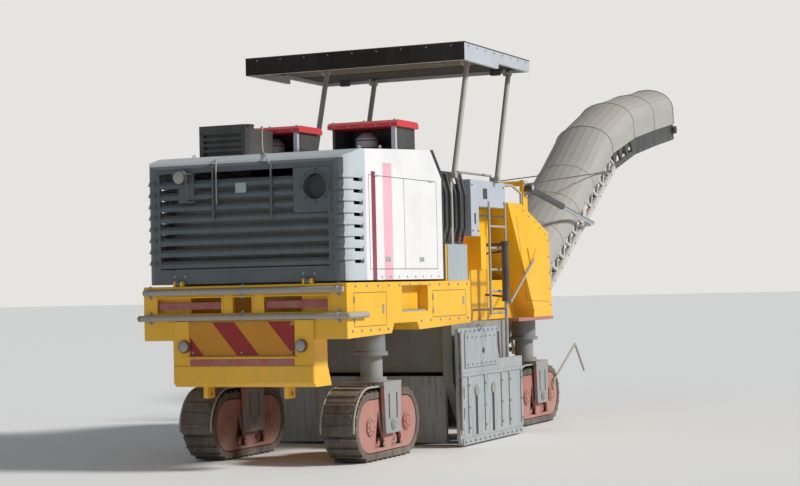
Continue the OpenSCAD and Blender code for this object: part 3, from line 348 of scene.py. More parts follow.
@dataclass(frozen=True)
class LegFinish(Finish):
    """Faded red primer on the track frames, grey enamel on forks and legs, and brown dirt on the guards."""

    leg_grey: str = "#8E9294"
    guard_brown: str = "#5B4F47"
    leg_z: Pair = (0.75, 1.29)
    fork: Triple = (0.186, 0.20, 0.85)  # half the gap, half the depth, top
    loop: Triple = (0.445, 0.355, 0.37)  # half the straight, height of the middle, radius

    def layers(self, add: partial, place: Socket) -> Layers:
        """Brown outside the loop, grey on a leg and on a fork. Args and Returns: see Finish.layers."""
        parts = add("SeparateXYZ", (place,)).outputs
        low, high = self.leg_z
        gap, depth, fork_top = self.fork
        straight, middle_z, guard_r = self.loop
        grey = add("Math", (parts["Z"], (low + high) / 2, (high - low) / 2), operation="COMPARE")
        side = add("Math", (parts["X"],), operation="ABSOLUTE")
        inside = add("Math", (side, TRACK_X, gap), operation="COMPARE")
        outside = add("Math", (1.0, inside), operation="SUBTRACT")
        lower = add("Math", (parts["Z"], fork_top), operation="LESS_THAN")
        level = add("Math", (parts["Z"], middle_z), operation="SUBTRACT")
        up = add("Math", (add("Math", (level,), operation="ABSOLUTE"), 2.0), operation="POWER")
        reach: object = 10.0
        for end in End:
            ahead = add("Math", (parts["Y"], REAR_Y + end.value), operation="SUBTRACT")
            along = add("Math", (ahead,), operation="ABSOLUTE")
            near = add("Math", (along, depth), operation="LESS_THAN")
            face = add("Math", (near, outside), operation="MULTIPLY")
            face = add("Math", (face, lower), operation="MULTIPLY")
            grey = add("Math", (grey, face), operation="MAXIMUM")
            past = add("Math", (along, straight), operation="SUBTRACT")
            beyond = add("Math", (past, 0.0), operation="MAXIMUM")
            square = add("Math", (add("Math", (beyond, 2.0), operation="POWER"), up), operation="ADD")
            reach = add("Math", (reach, add("Math", (square,), operation="SQRT")), operation="MINIMUM")
        outer = add("Math", (reach, guard_r), operation="GREATER_THAN")
        under = add("Math", (parts["Z"], 1.0), operation="LESS_THAN")
        return [(add("Math", (outer, under), operation="MULTIPLY"), self.guard_brown), (grey, self.leg_grey)]


@dataclass(frozen=True)
class ChassisFinish(Finish):
    """Golden enamel of the frame, with grey leg sleeves below it and a pale rail over the front block."""

    sleeve_grey: str = "#7C8082"
    sleeve_top: float = 1.30
    sleeve_reach: float = 0.20
    rail_pale: str = "#B8B2A2"
    block: Quad = (4.455, 4.91, 5.30, 2.718)  # back, edge of the deck, front, height of the deck
    fall: float = 0.34

    def layers(self, add: partial, place: Socket) -> Layers:
        """Grey round each leg's axis under the frame, pale above the block. Args and Returns: see Finish.layers."""
        parts = add("SeparateXYZ", (place,)).outputs
        side = add("Math", (parts["X"],), operation="ABSOLUTE")
        across = add("Math", (side, TRACK_X), operation="SUBTRACT")
        wide = add("Math", (across, across), operation="MULTIPLY")
        reach: object = 10.0
        for end in End:
            along = add("Math", (parts["Y"], REAR_Y + end.value), operation="SUBTRACT")
            square = add("Math", (wide, add("Math", (along, along), operation="MULTIPLY")), operation="ADD")
            reach = add("Math", (reach, add("Math", (square,), operation="SQRT")), operation="MINIMUM")
        close = add("Math", (reach, self.sleeve_reach), operation="LESS_THAN")
        lower = add("Math", (parts["Z"], self.sleeve_top), operation="LESS_THAN")
        back, edge, front, deck = self.block
        ahead = add("Math", (parts["Y"], REAR_Y + edge), operation="SUBTRACT")
        sloped = add("Math", (add("Math", (ahead, 0.0), operation="MAXIMUM"), self.fall), operation="MULTIPLY")
        above = add("Math", (add("Math", (parts["Z"], sloped), operation="ADD"), deck), operation="GREATER_THAN")
        near = add("Math", (parts["Y"], REAR_Y + (back + front) / 2, (front - back) / 2), operation="COMPARE")
        return [(add("Math", (close, lower), operation="MULTIPLY"), self.sleeve_grey),
                (add("Math", (above, near), operation="MULTIPLY"), self.rail_pale)]


@dataclass(frozen=True)
class TailFinish(Finish):
    """Slate enamel with painted sunlight: paler on the sides of the rear corners and along the top edge."""

    # Pale slate where the sun falls on the corners' sides and the top edge: painted light
    painted_sunlit_pale: str = "#C3CACF"
    corner_x: float = 1.085
    top_z: float = 3.012

    def layers(self, add: partial, place: Socket) -> Layers:
        """Painted sunlight: pale beyond a width and above a height. Args and Returns: see Finish.layers."""
        parts = add("SeparateXYZ", (place,)).outputs
        side = add("Math", (parts["X"],), operation="ABSOLUTE")
        outer = add("Math", (side, self.corner_x), operation="GREATER_THAN")
        upper = add("Math", (parts["Z"], self.top_z), operation="GREATER_THAN")
        return [(add("Math", (outer, upper), operation="MAXIMUM"), self.painted_sunlit_pale)]


FINISHES: dict[str, Finish] = {
    # Enamel sprayed on rolled plate: even and softly glossy, deep in colour, with little dust above the tracks
    "chassis_yellow": ChassisFinish("golden_yellow_enamel", "#FCBE06", dust=(0.22, 0.02)),
    # Plastic sheet with glass beads, glued on: flat, half matte and saturated
    "hazard_paint": HazardBands("reflective_hazard_sheet", "#9A100E", roughness=0.45, coat=0.05, wear=0.2,
                                dust=(0.05, 0.0)),
    # Enamel brushed on bent tube and rubbed by gloves: half matte, worn through along the bends
    "rail_paint": Finish("cream_grey_rail_enamel", "#ABA69B", roughness=0.5, wear=0.9),
    # Acrylic moulded in a polished die: sharp gloss under a film of dust
    "lamp_lens": Finish("moulded_acrylic_lens", "#A81C20", roughness=0.12, coat=0.8, wear=0.0, dust=(0.4, 0.2)),
    # Iron cast in sand and sprayed: matte, with the sand's coarse grain
    "engine_iron": Finish("painted_engine_iron", "#4A4C4E", roughness=0.6, coat=0.0, grain=0.3),
    # Aluminium fins rolled thin and brazed: bare metal with a broad, soft shine
    "cooler_aluminium": Finish("cooler_aluminium", "#8A8C8C", roughness=0.45, metallic=0.8, coat=0.0),
    # Enamel sprayed on folded sheet: smooth and pale, softly glossy
    "console_grey": Finish("pale_console_enamel", "#B9C0CA", dust=(0.55, 0.12)),
    # Black enamel on frames and brackets: low gloss, on which the dust shows first
    "dark_paint": Finish("black_grey_enamel", "#2E3134", roughness=0.42, dust=(0.45, 0.12)),
    # Vinyl pressed with a leather grain of 0.5 mm, drawn at 1.6 mm so that it shows: soft sheen in fine pores
    "seat_vinyl": Finish("grained_seat_vinyl", "#26272A", roughness=0.5, coat=0.0, wear=0.0, grain_mm=1.6, grain=0.4),
    # Enamel on punched and folded steps, which boots keep dusty: pale and softly glossy
    "step_grey": Finish("step_box_enamel", "#A9B4B8", dust=(0.5, 0.10)),
    # Red enamel sprayed on small covers: saturated and softly glossy
    "signal_red": Finish("signal_red_enamel", "#D82A38", dust=(0.55, 0.06)),
    # Primer under thin enamel on welded plate, which stones and sun have worn: chalky and faded, with many chips
    "dusty_red": LegFinish("track_frame_red_enamel", "#B4685E", roughness=0.6, coat=0.0, dust=(0.40, 0.10), wear=0.9,
                           bare="#8A7A6C"),
    # Enamel on thick plate beside the cutting: matte under caked dust
    "housing_grey": Finish("drum_housing_enamel", "#7C8488", roughness=0.55, dust=(0.7, 0.10), wear=0.8),
    # Rubber rolled on fabric plies: matte black, grey with ground stone
    "belt_rubber": Finish("conveyor_belt_rubber", "#2B2A29", roughness=0.75, coat=0.0, wear=0.0, dust=(0.8, 0.5)),
    # Enamel sprayed on the pressed hood and washed often: the glossiest and cleanest paint on the machine
    "hood_white": StripedHood("white_hood_enamel", "#F2F0EE", roughness=0.3, coat=0.3, dust=(0.3, 0.02), wear=0.25),
    # Slate enamel on the louvred tail: softly glossy, with painted sunlight that turns the corners' sides and the top
    # edge pale
    "hood_grey": TailFinish("hood_slate_enamel", "#535D63", dust=(0.25, 0.05)),
    # Hot-rolled tube and plate under welds: brown, coarse and half metallic
    "drum_steel": Finish("drum_steel", "#5B5148", roughness=0.6, metallic=0.3, coat=0.0, dust=(0.7, 0.10), grain=0.5,
                         grain_mm=6.0),
    # Enamel on plate that slides along the cut: scratched through to bright steel
    "wear_plate": ScrapedPlate("scraped_side_plate", "#A3AEB3", roughness=0.45, dust=(0.35, 0.10), bare="#7F8384",
                               wear=0.9),
    # Iron cast in sand, unpainted: dark and coarse, rubbed pale along its edges
    "shoe_iron": Finish("cast_track_shoe_iron", "#43382F", roughness=0.7, coat=0.0, dust=(0.30, 0.10), grain=0.7,
                        grain_mm=8.0, wear=0.8, bare="#8E8478"),
    # Enamel sprayed on the roof's sheet: smooth, pale and softly glossy
    "canopy_grey": Finish("canopy_grey_enamel", "#BFC3C9", dust=(0.55, 0.06)),
    # Enamel sprayed on welded angle bars: warm white, softly glossy under light dust
    "conveyor_white": Finish("conveyor_white_enamel", "#CDC8C3", dust=(0.35, 0.1)),
    # Thin sheet rolled into arches and painted: half matte, with dust lying along its top
    "cover_grey": Finish("conveyor_cover_sheet", "#ADAAA5", roughness=0.55, dust=(0.5, 0.25), ledge=0.45),
    # Steel ground and hard chromed: a bright mirror, wiped clean by the seals
    "rod_chrome": Finish("hard_chromed_rod", "#D5D8DB", roughness=0.12, metallic=1.0, coat=0.0, wear=0.0,
                         dust=(0.2, 0.03)),
    # Clear glass pressed in a mould, under a film of road dust, which dulls it
    "lamp_clear": Finish("dusty_glass_lens", "#9A9C98", roughness=0.18, coat=0.9, wear=0.0, dust=(0.6, 0.25)),
    # Mild steel pipe that heat has scaled and turned brown: matte and coarse
    "exhaust_steel": Finish("scaled_exhaust_steel", "#5A4C42", roughness=0.7, metallic=0.5, coat=0.0, grain=0.4),
    # Pressed hardboard, painted, that years of sun have turned beige: matte
    "liner_board": Finish("roof_liner_board", "#5A4C30", roughness=0.7, coat=0.0, wear=0.0, dust=(0.2, 0.1)),
    # The same board in black, matte so that it takes no shine at a flat angle: painted shade under the roof's front,
    # and the dark rear edge with painted shade on it
    "black_and_painted_shade": Finish("black_board_and_painted_shade", "#1B1917", roughness=0.9, coat=0.0, wear=0.0, dust=(0.1, 0.05)),
    # Float glass over a blank display: near black, with sharp reflections
    "screen_glass": Finish("dark_screen_glass", "#15181B", roughness=0.08, coat=0.6, wear=0.0, dust=(0.3, 0.12)),
    # Rubber extruded over braid, with fine ribs: matte black under dust
    "hose_rubber": Finish("ribbed_hose_rubber", "#222324", roughness=0.6, coat=0.0, wear=0.0, dust=(0.6, 0.10),
                          grain=0.3),
}
# Materials made so far, by the name of their finish
MATERIALS: dict[str, bpy.types.Material] = {}


def finish_of(slot: str) -> bpy.types.Material:
    """The material of a finish, made at its first use. Args: its name in FINISHES. Returns: the material."""
    if slot not in MATERIALS:
        MATERIALS[slot] = FINISHES[slot].build()
    return MATERIALS[slot]


# Shapes


class Shape:
    """One piece's mesh, gathered from simple solids in the row frame, in metres."""

    seam_half: float = 0.003  # half the width of a shut line
    seam_in: float = 0.002  # how far a shut line reaches into its sheet
    seam_out: float = 0.0012  # and out of it

    def __init__(self) -> None:
        """Starts with no faces."""
        self.bm = bmesh.new()

    def join(self, low: Sequence[bmesh.types.BMVert], high: Sequence[bmesh.types.BMVert]) -> None:
        """Faces between two closed rings of vertices. Args: low and high, with equal counts."""
        for i in range(len(low)):
            j = (i + 1) % len(low)
            self.bm.faces.new((low[i], low[j], high[j], high[i]))

    def solid(self, rings: Sequence[Sequence[Vector]]) -> "Shape":
        """Adds a closed skin over rings of points. Args: rings in order, of equal counts. Returns: this shape."""
        rows = [[self.bm.verts.new(p) for p in ring] for ring in rings]
        for low, high in zip(rows, rows[1:]):
            self.join(low, high)
        self.bm.faces.new(rows[0][::-1])
        self.bm.faces.new(rows[-1])
        return self

    def block(self, low: Vector, high: Vector) -> "Shape":
        """Adds a block between two corners. Args: low, high. Returns: this shape."""
        a, b = Vector(map(min, low, high)), Vector(map(max, low, high))
        flat = [(a.x, a.y), (b.x, a.y), (b.x, b.y), (a.x, b.y)]
        return self.solid([[Vector((x, y, z)) for x, y in flat] for z in (a.z, b.z)])

    def shut_lines(self, side: Side, ys: Sequence[float], zs: Sequence[float]) -> "Shape":
        """Adds the dark gaps round doors in a side. Args: side, ys and zs of the lines. Returns: this shape."""
        inner, outer = side * HALF_W - side * self.seam_in, side * HALF_W + side * self.seam_out
        for y in ys:
            self.block(spot(inner, y - self.seam_half, zs[0]), spot(outer, y + self.seam_half, zs[-1]))
        for z in zs:
            self.block(spot(inner, ys[0], z - self.seam_half), spot(outer, ys[-1], z + self.seam_half))
        return self

    def prism(self, outline: Sequence[Pair], x0: float, x1: float) -> "Shape":
        """Adds an outline in the YZ plane, Y counted from the rear face, extruded along X.

        Args:
            outline: Points as (y, z).
            x0: Left end.
            x1: Right end.

        Returns:
            This shape.
        """
        return self.solid([[spot(x, y, z) for y, z in outline] for x in (x0, x1)])

    def tube(self, path: Sequence[Vector], radius: float, sides: int = 12, widths: Sequence[float] = ()) -> "Shape":
        """Adds a round bar along a path.

        Args:
            path: Points of the middle line.
            radius: Radius of the bar.
            sides: Faces round it.
            widths: Share of the radius at each point, or nothing for an even bar.

        Returns:
            This shape.
        """
        side = (path[1] - path[0]).normalized().orthogonal().normalized()
        rings = []
        for i, p in enumerate(path):
            way = (path[min(i + 1, len(path) - 1)] - path[max(i - 1, 0)]).normalized()
            side = (side - way * side.dot(way)).normalized()
            r = radius * (widths[i] if widths else 1.0)
            rings.append(round_points(p, side * r, way.cross(side) * r, sides))
        return self.solid(rings)

    def rod(self, start: Vector, end: Vector, radius: float, sides: int = 20, tip: float = 1.0) -> "Shape":
        """Adds a straight round bar or cone. Args: start, end, radius, sides, tip as a share. Returns: this shape."""
        return self.tube([start, end], radius, sides, [1.0, tip])

    def ring(self, centre: Vector, axis: Vector, radius: float, thick: float, sides: int = 28) -> "Shape":
        """Adds a round bar bent into a ring.

        Args:
            centre: Middle of the ring.
            axis: Its axis.
            radius: Radius of the bar's middle line.
            thick: Radius of the bar.
            sides: Steps round the ring.

        Returns:
            This shape.
        """
        axis = axis.normalized()
        side = axis.orthogonal().normalized()
        rows = []
        for out in round_points(Vector(), side, axis.cross(side), sides):
            points = round_points(centre + out * radius, out * thick, axis * thick, 8)
            rows.append([self.bm.verts.new(p) for p in points])
        for low, high in zip(rows, rows[1:] + rows[:1]):
            self.join(low, high)
        return self

    def bolt(self, at: Vector, axis: Vector, size: float) -> "Shape":
        """Adds a hexagon head on its washer.

        Args:
            at: Point on the plate.
            axis: Direction out of the plate.
            size: Width of the head.

        Returns:
            This shape.
        """
        self.rod(at - axis * 0.002, at + axis * size * 0.12, size * 0.78, 14)
        return self.rod(at, at + axis * size * 0.62, size * 0.56, 6, 0.96)

    def bolts(self, first: Vector, step: Vector, count: int, axis: Vector, size: float) -> "Shape":
        """Adds a row of bolts. Args: first, step, count, axis and size as in bolt. Returns: this shape."""
        for i in range(count):
            self.bolt(first + step * i, axis, size)
        return self

    def place(self, name: str, body: str, slot: str, round_mm: float = 0.0, smooth: float = 35.0) -> bpy.types.Object:
        """Turns the mesh into an object that rides a body.

        Args:
            name: Name of the piece.
            body: CAD body that carries it, or nothing for a piece that rides no body.
            slot: Name of its finish.
            round_mm: Size of the rounding along its edges, or 0.
            smooth: Angle in degrees up to which faces blend.

        Returns:
            The object.
        """
        bmesh.ops.recalc_face_normals(self.bm, faces=self.bm.faces)
        mesh = bpy.data.meshes.new(name)
        self.bm.to_mesh(mesh)
        self.bm.free()
        piece = bpy.data.objects.new(name, mesh)
        bpy.context.scene.collection.objects.link(piece)
        mesh.materials.append(finish_of(slot))
        for face in mesh.polygons:
            face.use_smooth = True
        mesh.set_sharp_from_angle(angle=math.radians(smooth))
        if round_mm:
            bevel = piece.modifiers.new("rounding", "BEVEL")
            bevel.width, bevel.segments, bevel.limit_method = round_mm / 1000, 2, "ANGLE"
            bevel.harden_normals = True
        if body:
            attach(piece, body)
        LOG.info("%s rides %s", name, body or "two bodies")
        return piece


# Studio


@dataclass
class Studio:
    """Pale floor, soft light and the camera, which stands where the photograph was taken."""

    camera_at: Triple = (8.740, -15.928, 1.754)  # forward of the rear face
    yaw: float = 23.84
    pitch: float = 1.34
    roll: float = -1.35
    focal_px: float = 1843.0
    image_px: float = 800.0
    sensor_mm: float = 36.0
    floor_size: float = 400.0
    floor_colour: str = "#E6E4E0"
    sun_power: float = 3.1
    sun_width: float = 9.0
    sun_way: Triple = (-0.80, -0.18, -0.57)
    sky_power: float = 0.36
    sky_colour: str = "#DDE6F0"

    def camera(self) -> None:
        """Makes the camera. Yaw turns left from +Y, and pitch is upwards."""
        data = bpy.data.cameras.new("camera")
        data.sensor_width = self.sensor_mm
        data.lens = self.focal_px / self.image_px * self.sensor_mm
        data.clip_end = 2 * self.floor_size
        eye = bpy.data.objects.new("camera", data)
        matrix = Matrix.Translation(spot(*self.camera_at))
        for angle, axis in ((self.yaw, "Z"), (90 + self.pitch, "X"), (self.roll, "Z")):
            matrix = matrix @ Matrix.Rotation(math.radians(angle), 4, axis)
        eye.matrix_world = matrix
        bpy.context.scene.collection.objects.link(eye)
        bpy.context.scene.camera = eye

    def floor(self) -> None:
        """Makes the floor of pale matte paint, with the machine's shadow on it."""
        half = self.floor_size / 2
        mesh = bpy.data.meshes.new("floor")
        mesh.from_pydata([(-half, -half, 0), (half, -half, 0), (half, half, 0), (-half, half, 0)], [], [(0, 1, 2, 3)])
        ground = bpy.data.objects.new("floor", mesh)
        bpy.context.scene.collection.objects.link(ground)
        material = bpy.data.materials.new("matte_studio_floor")
        material.use_nodes = True
        material.node_tree.nodes.clear()
        add = partial(add_node, material.node_tree)
        shader = add("BsdfPrincipled", {"Base Color": linear(self.floor_colour), "Roughness": 0.9})
        add("OutputMaterial", {"Surface": shader})
        mesh.materials.append(material)

    def light(self) -> None:
        """Makes a broad sun from the machine's right and a plain sky, pale where it is seen."""
        data = bpy.data.lights.new("soft_key", "SUN")
        data.energy, data.angle = self.sun_power, math.radians(self.sun_width)
        key = bpy.data.objects.new("soft_key", data)
        key.rotation_euler = Vector(self.sun_way).to_track_quat("-Z", "Y").to_euler()
        bpy.context.scene.collection.objects.link(key)
        world = bpy.data.worlds.new("studio")
        bpy.context.scene.world = world
        world.use_nodes = True
        world.node_tree.nodes.clear()
        add = partial(add_node, world.node_tree)
        path = add("LightPath").outputs
        seen = add("Math", (path["Is Camera Ray"], path["Is Transmission Ray"]), operation="MAXIMUM")
        lamp = add("Background", {"Color": linear(self.sky_colour), "Strength": self.sky_power})
        back = add("Background", {"Color": linear(self.floor_colour), "Strength": 1.0})
        add("OutputWorld", {"Surface": add("MixShader", (seen, lamp, back))})
        bpy.context.scene.view_settings.view_transform = "Standard"

    def build(self) -> None:
        """Makes floor, lights and camera."""
        self.camera()
        self.floor()
        self.light()


# Bodywork


@dataclass
class RearFace:
    """Trim of the rear face: window frames, rail clamps, lamp lenses, bolts and the strip over the guard rails."""

    windows: tuple[Pair, ...] = ((-0.98, -0.23), (-0.12, 0.11), (0.23, 0.94))
    window_z: Pair = (1.52, 1.69)
    frame_out: float = 0.008
    frame_lap: Pair = (0.012, 0.010)  # overlap of the level edges and of the upright ones
    fold_z: Pair = (1.774, 1.798)
    rail_y: float = -0.03
    rail_z: Pair = (1.485, 1.74)
    bracket_x: tuple[float, ...] = (-1.05, 0.0, 1.05)
    clamp: Pair = (0.034, 0.005)  # radius of the U-bolt and of its bar
    clamp_half: float = 0.052
    wall_bolts: tuple[float, float, int, float] = (-1.02, 0.17, 13, 1.46)  # first x, step, count, z
    lamp: Pair = (0.65, 1.20)  # x on either side, z
    lens: tuple[Pair, ...] = ((0.052, 0.058), (0.050, 0.064), (0.040, 0.069), (0.022, 0.072), (0.006, 0.073))
    rim: Triple = (0.057, 0.056, 0.006)  # out of the wall, radius, thickness
    board: Quad = (-0.59, 0.57, 1.11, 1.44)
    board_edge: float = 0.03
    plate: Pair = (0.775, 0.845)  # half width and lower edge of the bumper's plate
    plate_y: Pair = (-0.042, -0.029)
    fold: Triple = (-0.064, 0.030, 0.012)  # outer y, lower and upper edge below the board
    strip: Triple = (-0.034, 0.098, 0.034)

    def frames(self) -> None:
        """Rolled steel edges round the windows, and the folded strip above the upper rail."""
        shape, out = Shape(), self.frame_out
        low, high = self.window_z
        level, upright = self.frame_lap
        for x0, x1 in self.windows:
            for z in (low, high):
                shape.block(spot(x0 - level, -out, z - out), spot(x1 + level, 0.0, z + out))
            for x in (x0, x1):
                shape.block(spot(x - upright, SUNK - out, low), spot(x + upright, 0.0, high))
        side = HALF_W - self.board_edge
        shape.block(spot(-side, -0.012, self.fold_z[0]), spot(side, 0.0, self.fold_z[1]))
        shape.place("rear_window_frames", "chassis", "chassis_yellow", 3)

    def clamps(self) -> None:
        """U-bolts that hold the guard rails to their brackets, and the bolts through the rear wall."""
        shape = Shape()
        for x in self.bracket_x:
            for z in self.rail_z:
                shape.ring(spot(x, self.rail_y, z), OUT_RIGHT, *self.clamp)
                foot = spot(x, -SUNK, z - self.clamp_half)
                shape.bolts(foot, UP * 2 * self.clamp_half, 2, OUT_REAR, 0.022)
        first, step, count, z = self.wall_bolts
        shape.bolts(spot(first, -SUNK, z), OUT_RIGHT * step, count, OUT_REAR, M14)
        x0, x1, z0, z1 = self.board
        for x in (x0 + self.board_edge, (x0 + x1) / 2, x1 - self.board_edge):
            for z in (z0 + self.board_edge, z1 - self.board_edge):
                shape.bolt(spot(x, -0.0245, z), OUT_REAR, M10)
        shape.place("rear_bolts", "chassis", "step_grey")

    def lenses(self) -> None:
        """Domed clear lenses under road dust, in rubber rims, over the round lamps."""
        dome, rim = Shape(), Shape()
        for side in Side:
            at = spot(side * self.lamp[0], 0.0, self.lamp[1])
            dome.solid([round_points(at + OUT_REAR * out, OUT_RIGHT * r, UP * r, 30) for r, out in self.lens])
            rim.ring(at + OUT_REAR * self.rim[0], OUT_REAR, *self.rim[1:])
        dome.place("lamp_lenses", "chassis", "lamp_clear")
        rim.place("lamp_rims", "chassis", "belt_rubber")

    def ledge(self) -> None:
        """Folded ledge and reflective strip under the hazard board, and the doubling plate of the bumper."""
        x0, x1, z0, _ = self.board
        outer, inner = self.plate_y
        lap = self.board_edge
        y, low, high = self.fold
        fold = Shape().block(spot(x0 - lap, y, z0 - low), spot(x1 + lap, inner, z0 - high))
        fold.block(spot(-self.plate[0], outer, self.plate[1]), spot(self.plate[0], inner, z0 - 0.105))
        fold.place("bumper_plate", "chassis", "chassis_yellow", 2)
        y, low, high = self.strip
        strip = Shape().block(spot(x0, y, z0 - low), spot(x1, inner, z0 - high))
        strip.place("reflective_strip", "chassis", "lamp_lens")

    def build(self) -> None:
        """Makes all trim of the rear face."""
        self.frames()
        self.ledge()
        self.clamps()
        self.lenses()


@dataclass
class Hood:
    """Trim of the tilting hood: port rim, lamp, latches, seams, lifting eyes, lid and exhaust fittings."""

    back_y: float = 0.03
    port: Triple = (0.81, 0.13, 2.74)  # x, radius, z
    lamp: Pair = (-0.66, 2.885)
    lens: tuple[Pair, ...] = ((0.064, 0.091), (0.062, 0.097), (0.045, 0.103), (0.015, 0.105))
    pipes: tuple[tuple[Triple, ...], ...] = (
        ((0.33, 0.016, 2.60), (0.33, 0.016, 2.965), (0.25, 0.075, 3.058), (0.05, 0.40, 3.128), (0.03, 0.42, 3.17),
         (0.03, 0.42, 3.37)),
        ((-0.28, 0.016, 2.60), (-0.28, 0.016, 2.965), (-0.31, 0.075, 3.058), (-0.33, 0.20, 3.090)),
    )
    plate: Quad = (-0.07, 0.05, 2.71, 2.81)
    door: Quad = (0.56, 2.28, 1.93, 2.86)
    latch_y: Pair = (0.99, 1.85)
    latch: Triple = (0.006, 0.055, 0.022)  # half sizes, the first one outward only
    flange: tuple[float, float, int, float] = (0.62, 0.21, 9, 1.85)  # first y, step, count, z
    eyes: tuple[Pair, ...] = ((0.75, 3.118), (1.25, 3.150))
    eye_x: float = 0.95
    lid_z: float = 3.50
    lids: tuple[Pair, ...] = ((-0.93, -0.18), (0.16, 0.97))
    lid_y: Pair = (1.65, 2.22)
    hinge: Triple = (0.72, 0.062, 1.90)  # x on either side, half the bolts' distance, z
    exhaust: Triple = (-0.62, 1.30, 3.500)
    box_x: Pair = (-0.97, -0.48)
    box_z: Pair = (3.13, 3.40)
    strap_z: Pair = (3.23, 3.31)
    cap: tuple[Pair, ...] = ((0.108, 3.338), (0.066, 3.385))  # radius and height of each end of a rib

    def port_guard(self) -> None:
        """Turned rim of the round port with a black disc inside it as painted shade, and the work lamp's glass."""
        x, r, z = self.port
        centre = spot(x, self.back_y - 0.010, z)
        rim = Shape().ring(centre, OUT_REAR, r + 0.004, 0.009, 40)
        # Black disc 75 mm inside the port: painted shade for the dark inside of the opening
        pipe = Shape().rod(centre + OUT_FRONT * 0.075, centre + OUT_FRONT * 0.085, r - 0.002, 36)
        pipe.place("port_shade_disc", "hood", "dark_paint")
        bolt_r = r + 0.028
        for at in round_points(centre + OUT_FRONT * 0.002, OUT_RIGHT * bolt_r, UP * bolt_r, 8):
            rim.bolt(at, OUT_REAR, M8)
        rim.place("port_rim", "hood", "hood_grey")
        at = spot(self.lamp[0], self.back_y - 0.002, self.lamp[1])
        glass = Shape().solid([round_points(at + OUT_REAR * out, OUT_RIGHT * r, UP * r, 30) for r, out in self.lens])
        glass.place("work_lamp_glass", "hood", "lamp_clear")
        Shape().ring(at + OUT_REAR * 0.092, OUT_REAR, 0.068, 0.005).place("work_lamp_rim", "hood", "dark_paint")

    def back_pipes(self) -> None:
        """Thin breather pipe and grab rod that bend over the top edge, and the small blank plate on the slats."""
        shape = Shape()
        for path in self.pipes:
            shape.tube([spot(*point) for point in path], 0.008, 10)
        top = spot(*self.pipes[0][-1])
        shape.rod(top - UP * 0.01, top + UP * 0.02, 0.016, 14, 0.8)
        shape.place("breather_pipes", "hood", "rail_paint")
        x0, x1, z0, z1 = self.plate
        plate = Shape().block(spot(x0, self.back_y - 0.010, z0), spot(x1, self.back_y + 0.004, z1))
        plate.place("blank_plate", "hood", "step_grey", 2)

    def doors(self) -> None:
        """Shut lines of the side doors with their flush latches and hinges, and the screws of the lower flange."""
        y0, y1, z0, z1 = self.door
        seam, metal = Shape(), Shape()
        first, step, count, z = self.flange
        for side in Side:
            face, way = side * HALF_W, side.out
            seam.shut_lines(side, (y0, (y0 + y1) / 2, y1), (z0, z1))
            for y in self.latch_y:
                at = spot(face, y, z0 + 0.10)
                out, half_y, half_z = self.latch
                metal.block(at - Vector((0, half_y, half_z)), at + Vector((side * out, half_y, half_z)))
                knob = at + OUT_FRONT * 0.03
                metal.rod(knob + way * 0.004, knob + way * 0.011, 0.013, 18)
            for y in (y0 + 0.16, y1 - 0.16):
                at = spot(face + side * 0.006, y, z1)
                metal.rod(at + OUT_REAR * 0.05, at + OUT_FRONT * 0.05, 0.008, 12)
            metal.bolts(spot(face, first, z), OUT_FRONT * step, count, way, M8)
        seam.place("door_shut_lines", "hood", "dark_paint")
        metal.place("door_latches", "hood", "step_grey", 1.5)

    def fittings(self) -> None:
        """Lifting eyes, bolts of hinge and lids, and the clamps and bolts of the exhaust."""
        metal = Shape()
        for side in Side:
            for y, z in self.eyes:
                foot = spot(side * self.eye_x, y, z)
                metal.ring(foot + UP * 0.024, OUT_RIGHT, 0.024, 0.007, 20)
                metal.rod(foot - UP * 0.006, foot + UP * 0.006, 0.022, 12)
        rear, front = self.lid_y
        for x0, x1 in self.lids:
            for x in (x0 + 0.05, (x0 + x1) / 2, x1 - 0.05):
                for y in (rear + 0.05, front - 0.03):
                    metal.bolt(spot(x, y, self.lid_z - SUNK), UP, M14)
            step = OUT_RIGHT * (x1 - x0 - 0.16) / 4
            metal.bolts(spot(x0 + 0.08, rear + SUNK, self.lid_z - 0.05), step, 5, OUT_REAR, 0.013)
        x, half, z = self.hinge
        for side in Side:
            metal.bolts(spot(side * x - half, self.back_y - 0.002, z), OUT_RIGHT * 2 * half, 2, OUT_REAR, M12)
        metal.place("hood_fittings", "hood", "step_grey")
        pipe = Shape().ring(spot(*self.exhaust), UP, 0.073, 0.008)
        pipe.ring(spot(*self.exhaust) - UP * 0.038, UP, 0.077, 0.005)
        for x in self.box_x:
            for z in self.box_z:
                pipe.bolt(spot(x, 0.949, z), OUT_REAR, M12)
        pipe.place("exhaust_fittings", "hood", "exhaust_steel")

    def cleaners(self) -> None:
        """Straps and ribbed caps of the air cleaners."""
        strap = Shape()
        for x0, x1 in self.lids:
            x, y = (x0 + x1) / 2 - 0.06, 1.90
            for z in self.strap_z:
                strap.ring(spot(x, y, z), UP, 0.121, 0.006, 36)
            low, high = (round_points(spot(x, y, z), OUT_RIGHT * r, OUT_FRONT * r, 16) for r, z in self.cap)
            for foot, head in zip(low, high):
                strap.rod(foot, head, 0.004, 6)
        strap.place("air_cleaner_straps", "hood", "dark_paint")

    def build(self) -> None:
        """Makes all trim of the hood."""
        self.port_guard()
        self.back_pipes()
        self.doors()
        self.fittings()
        self.cleaners()


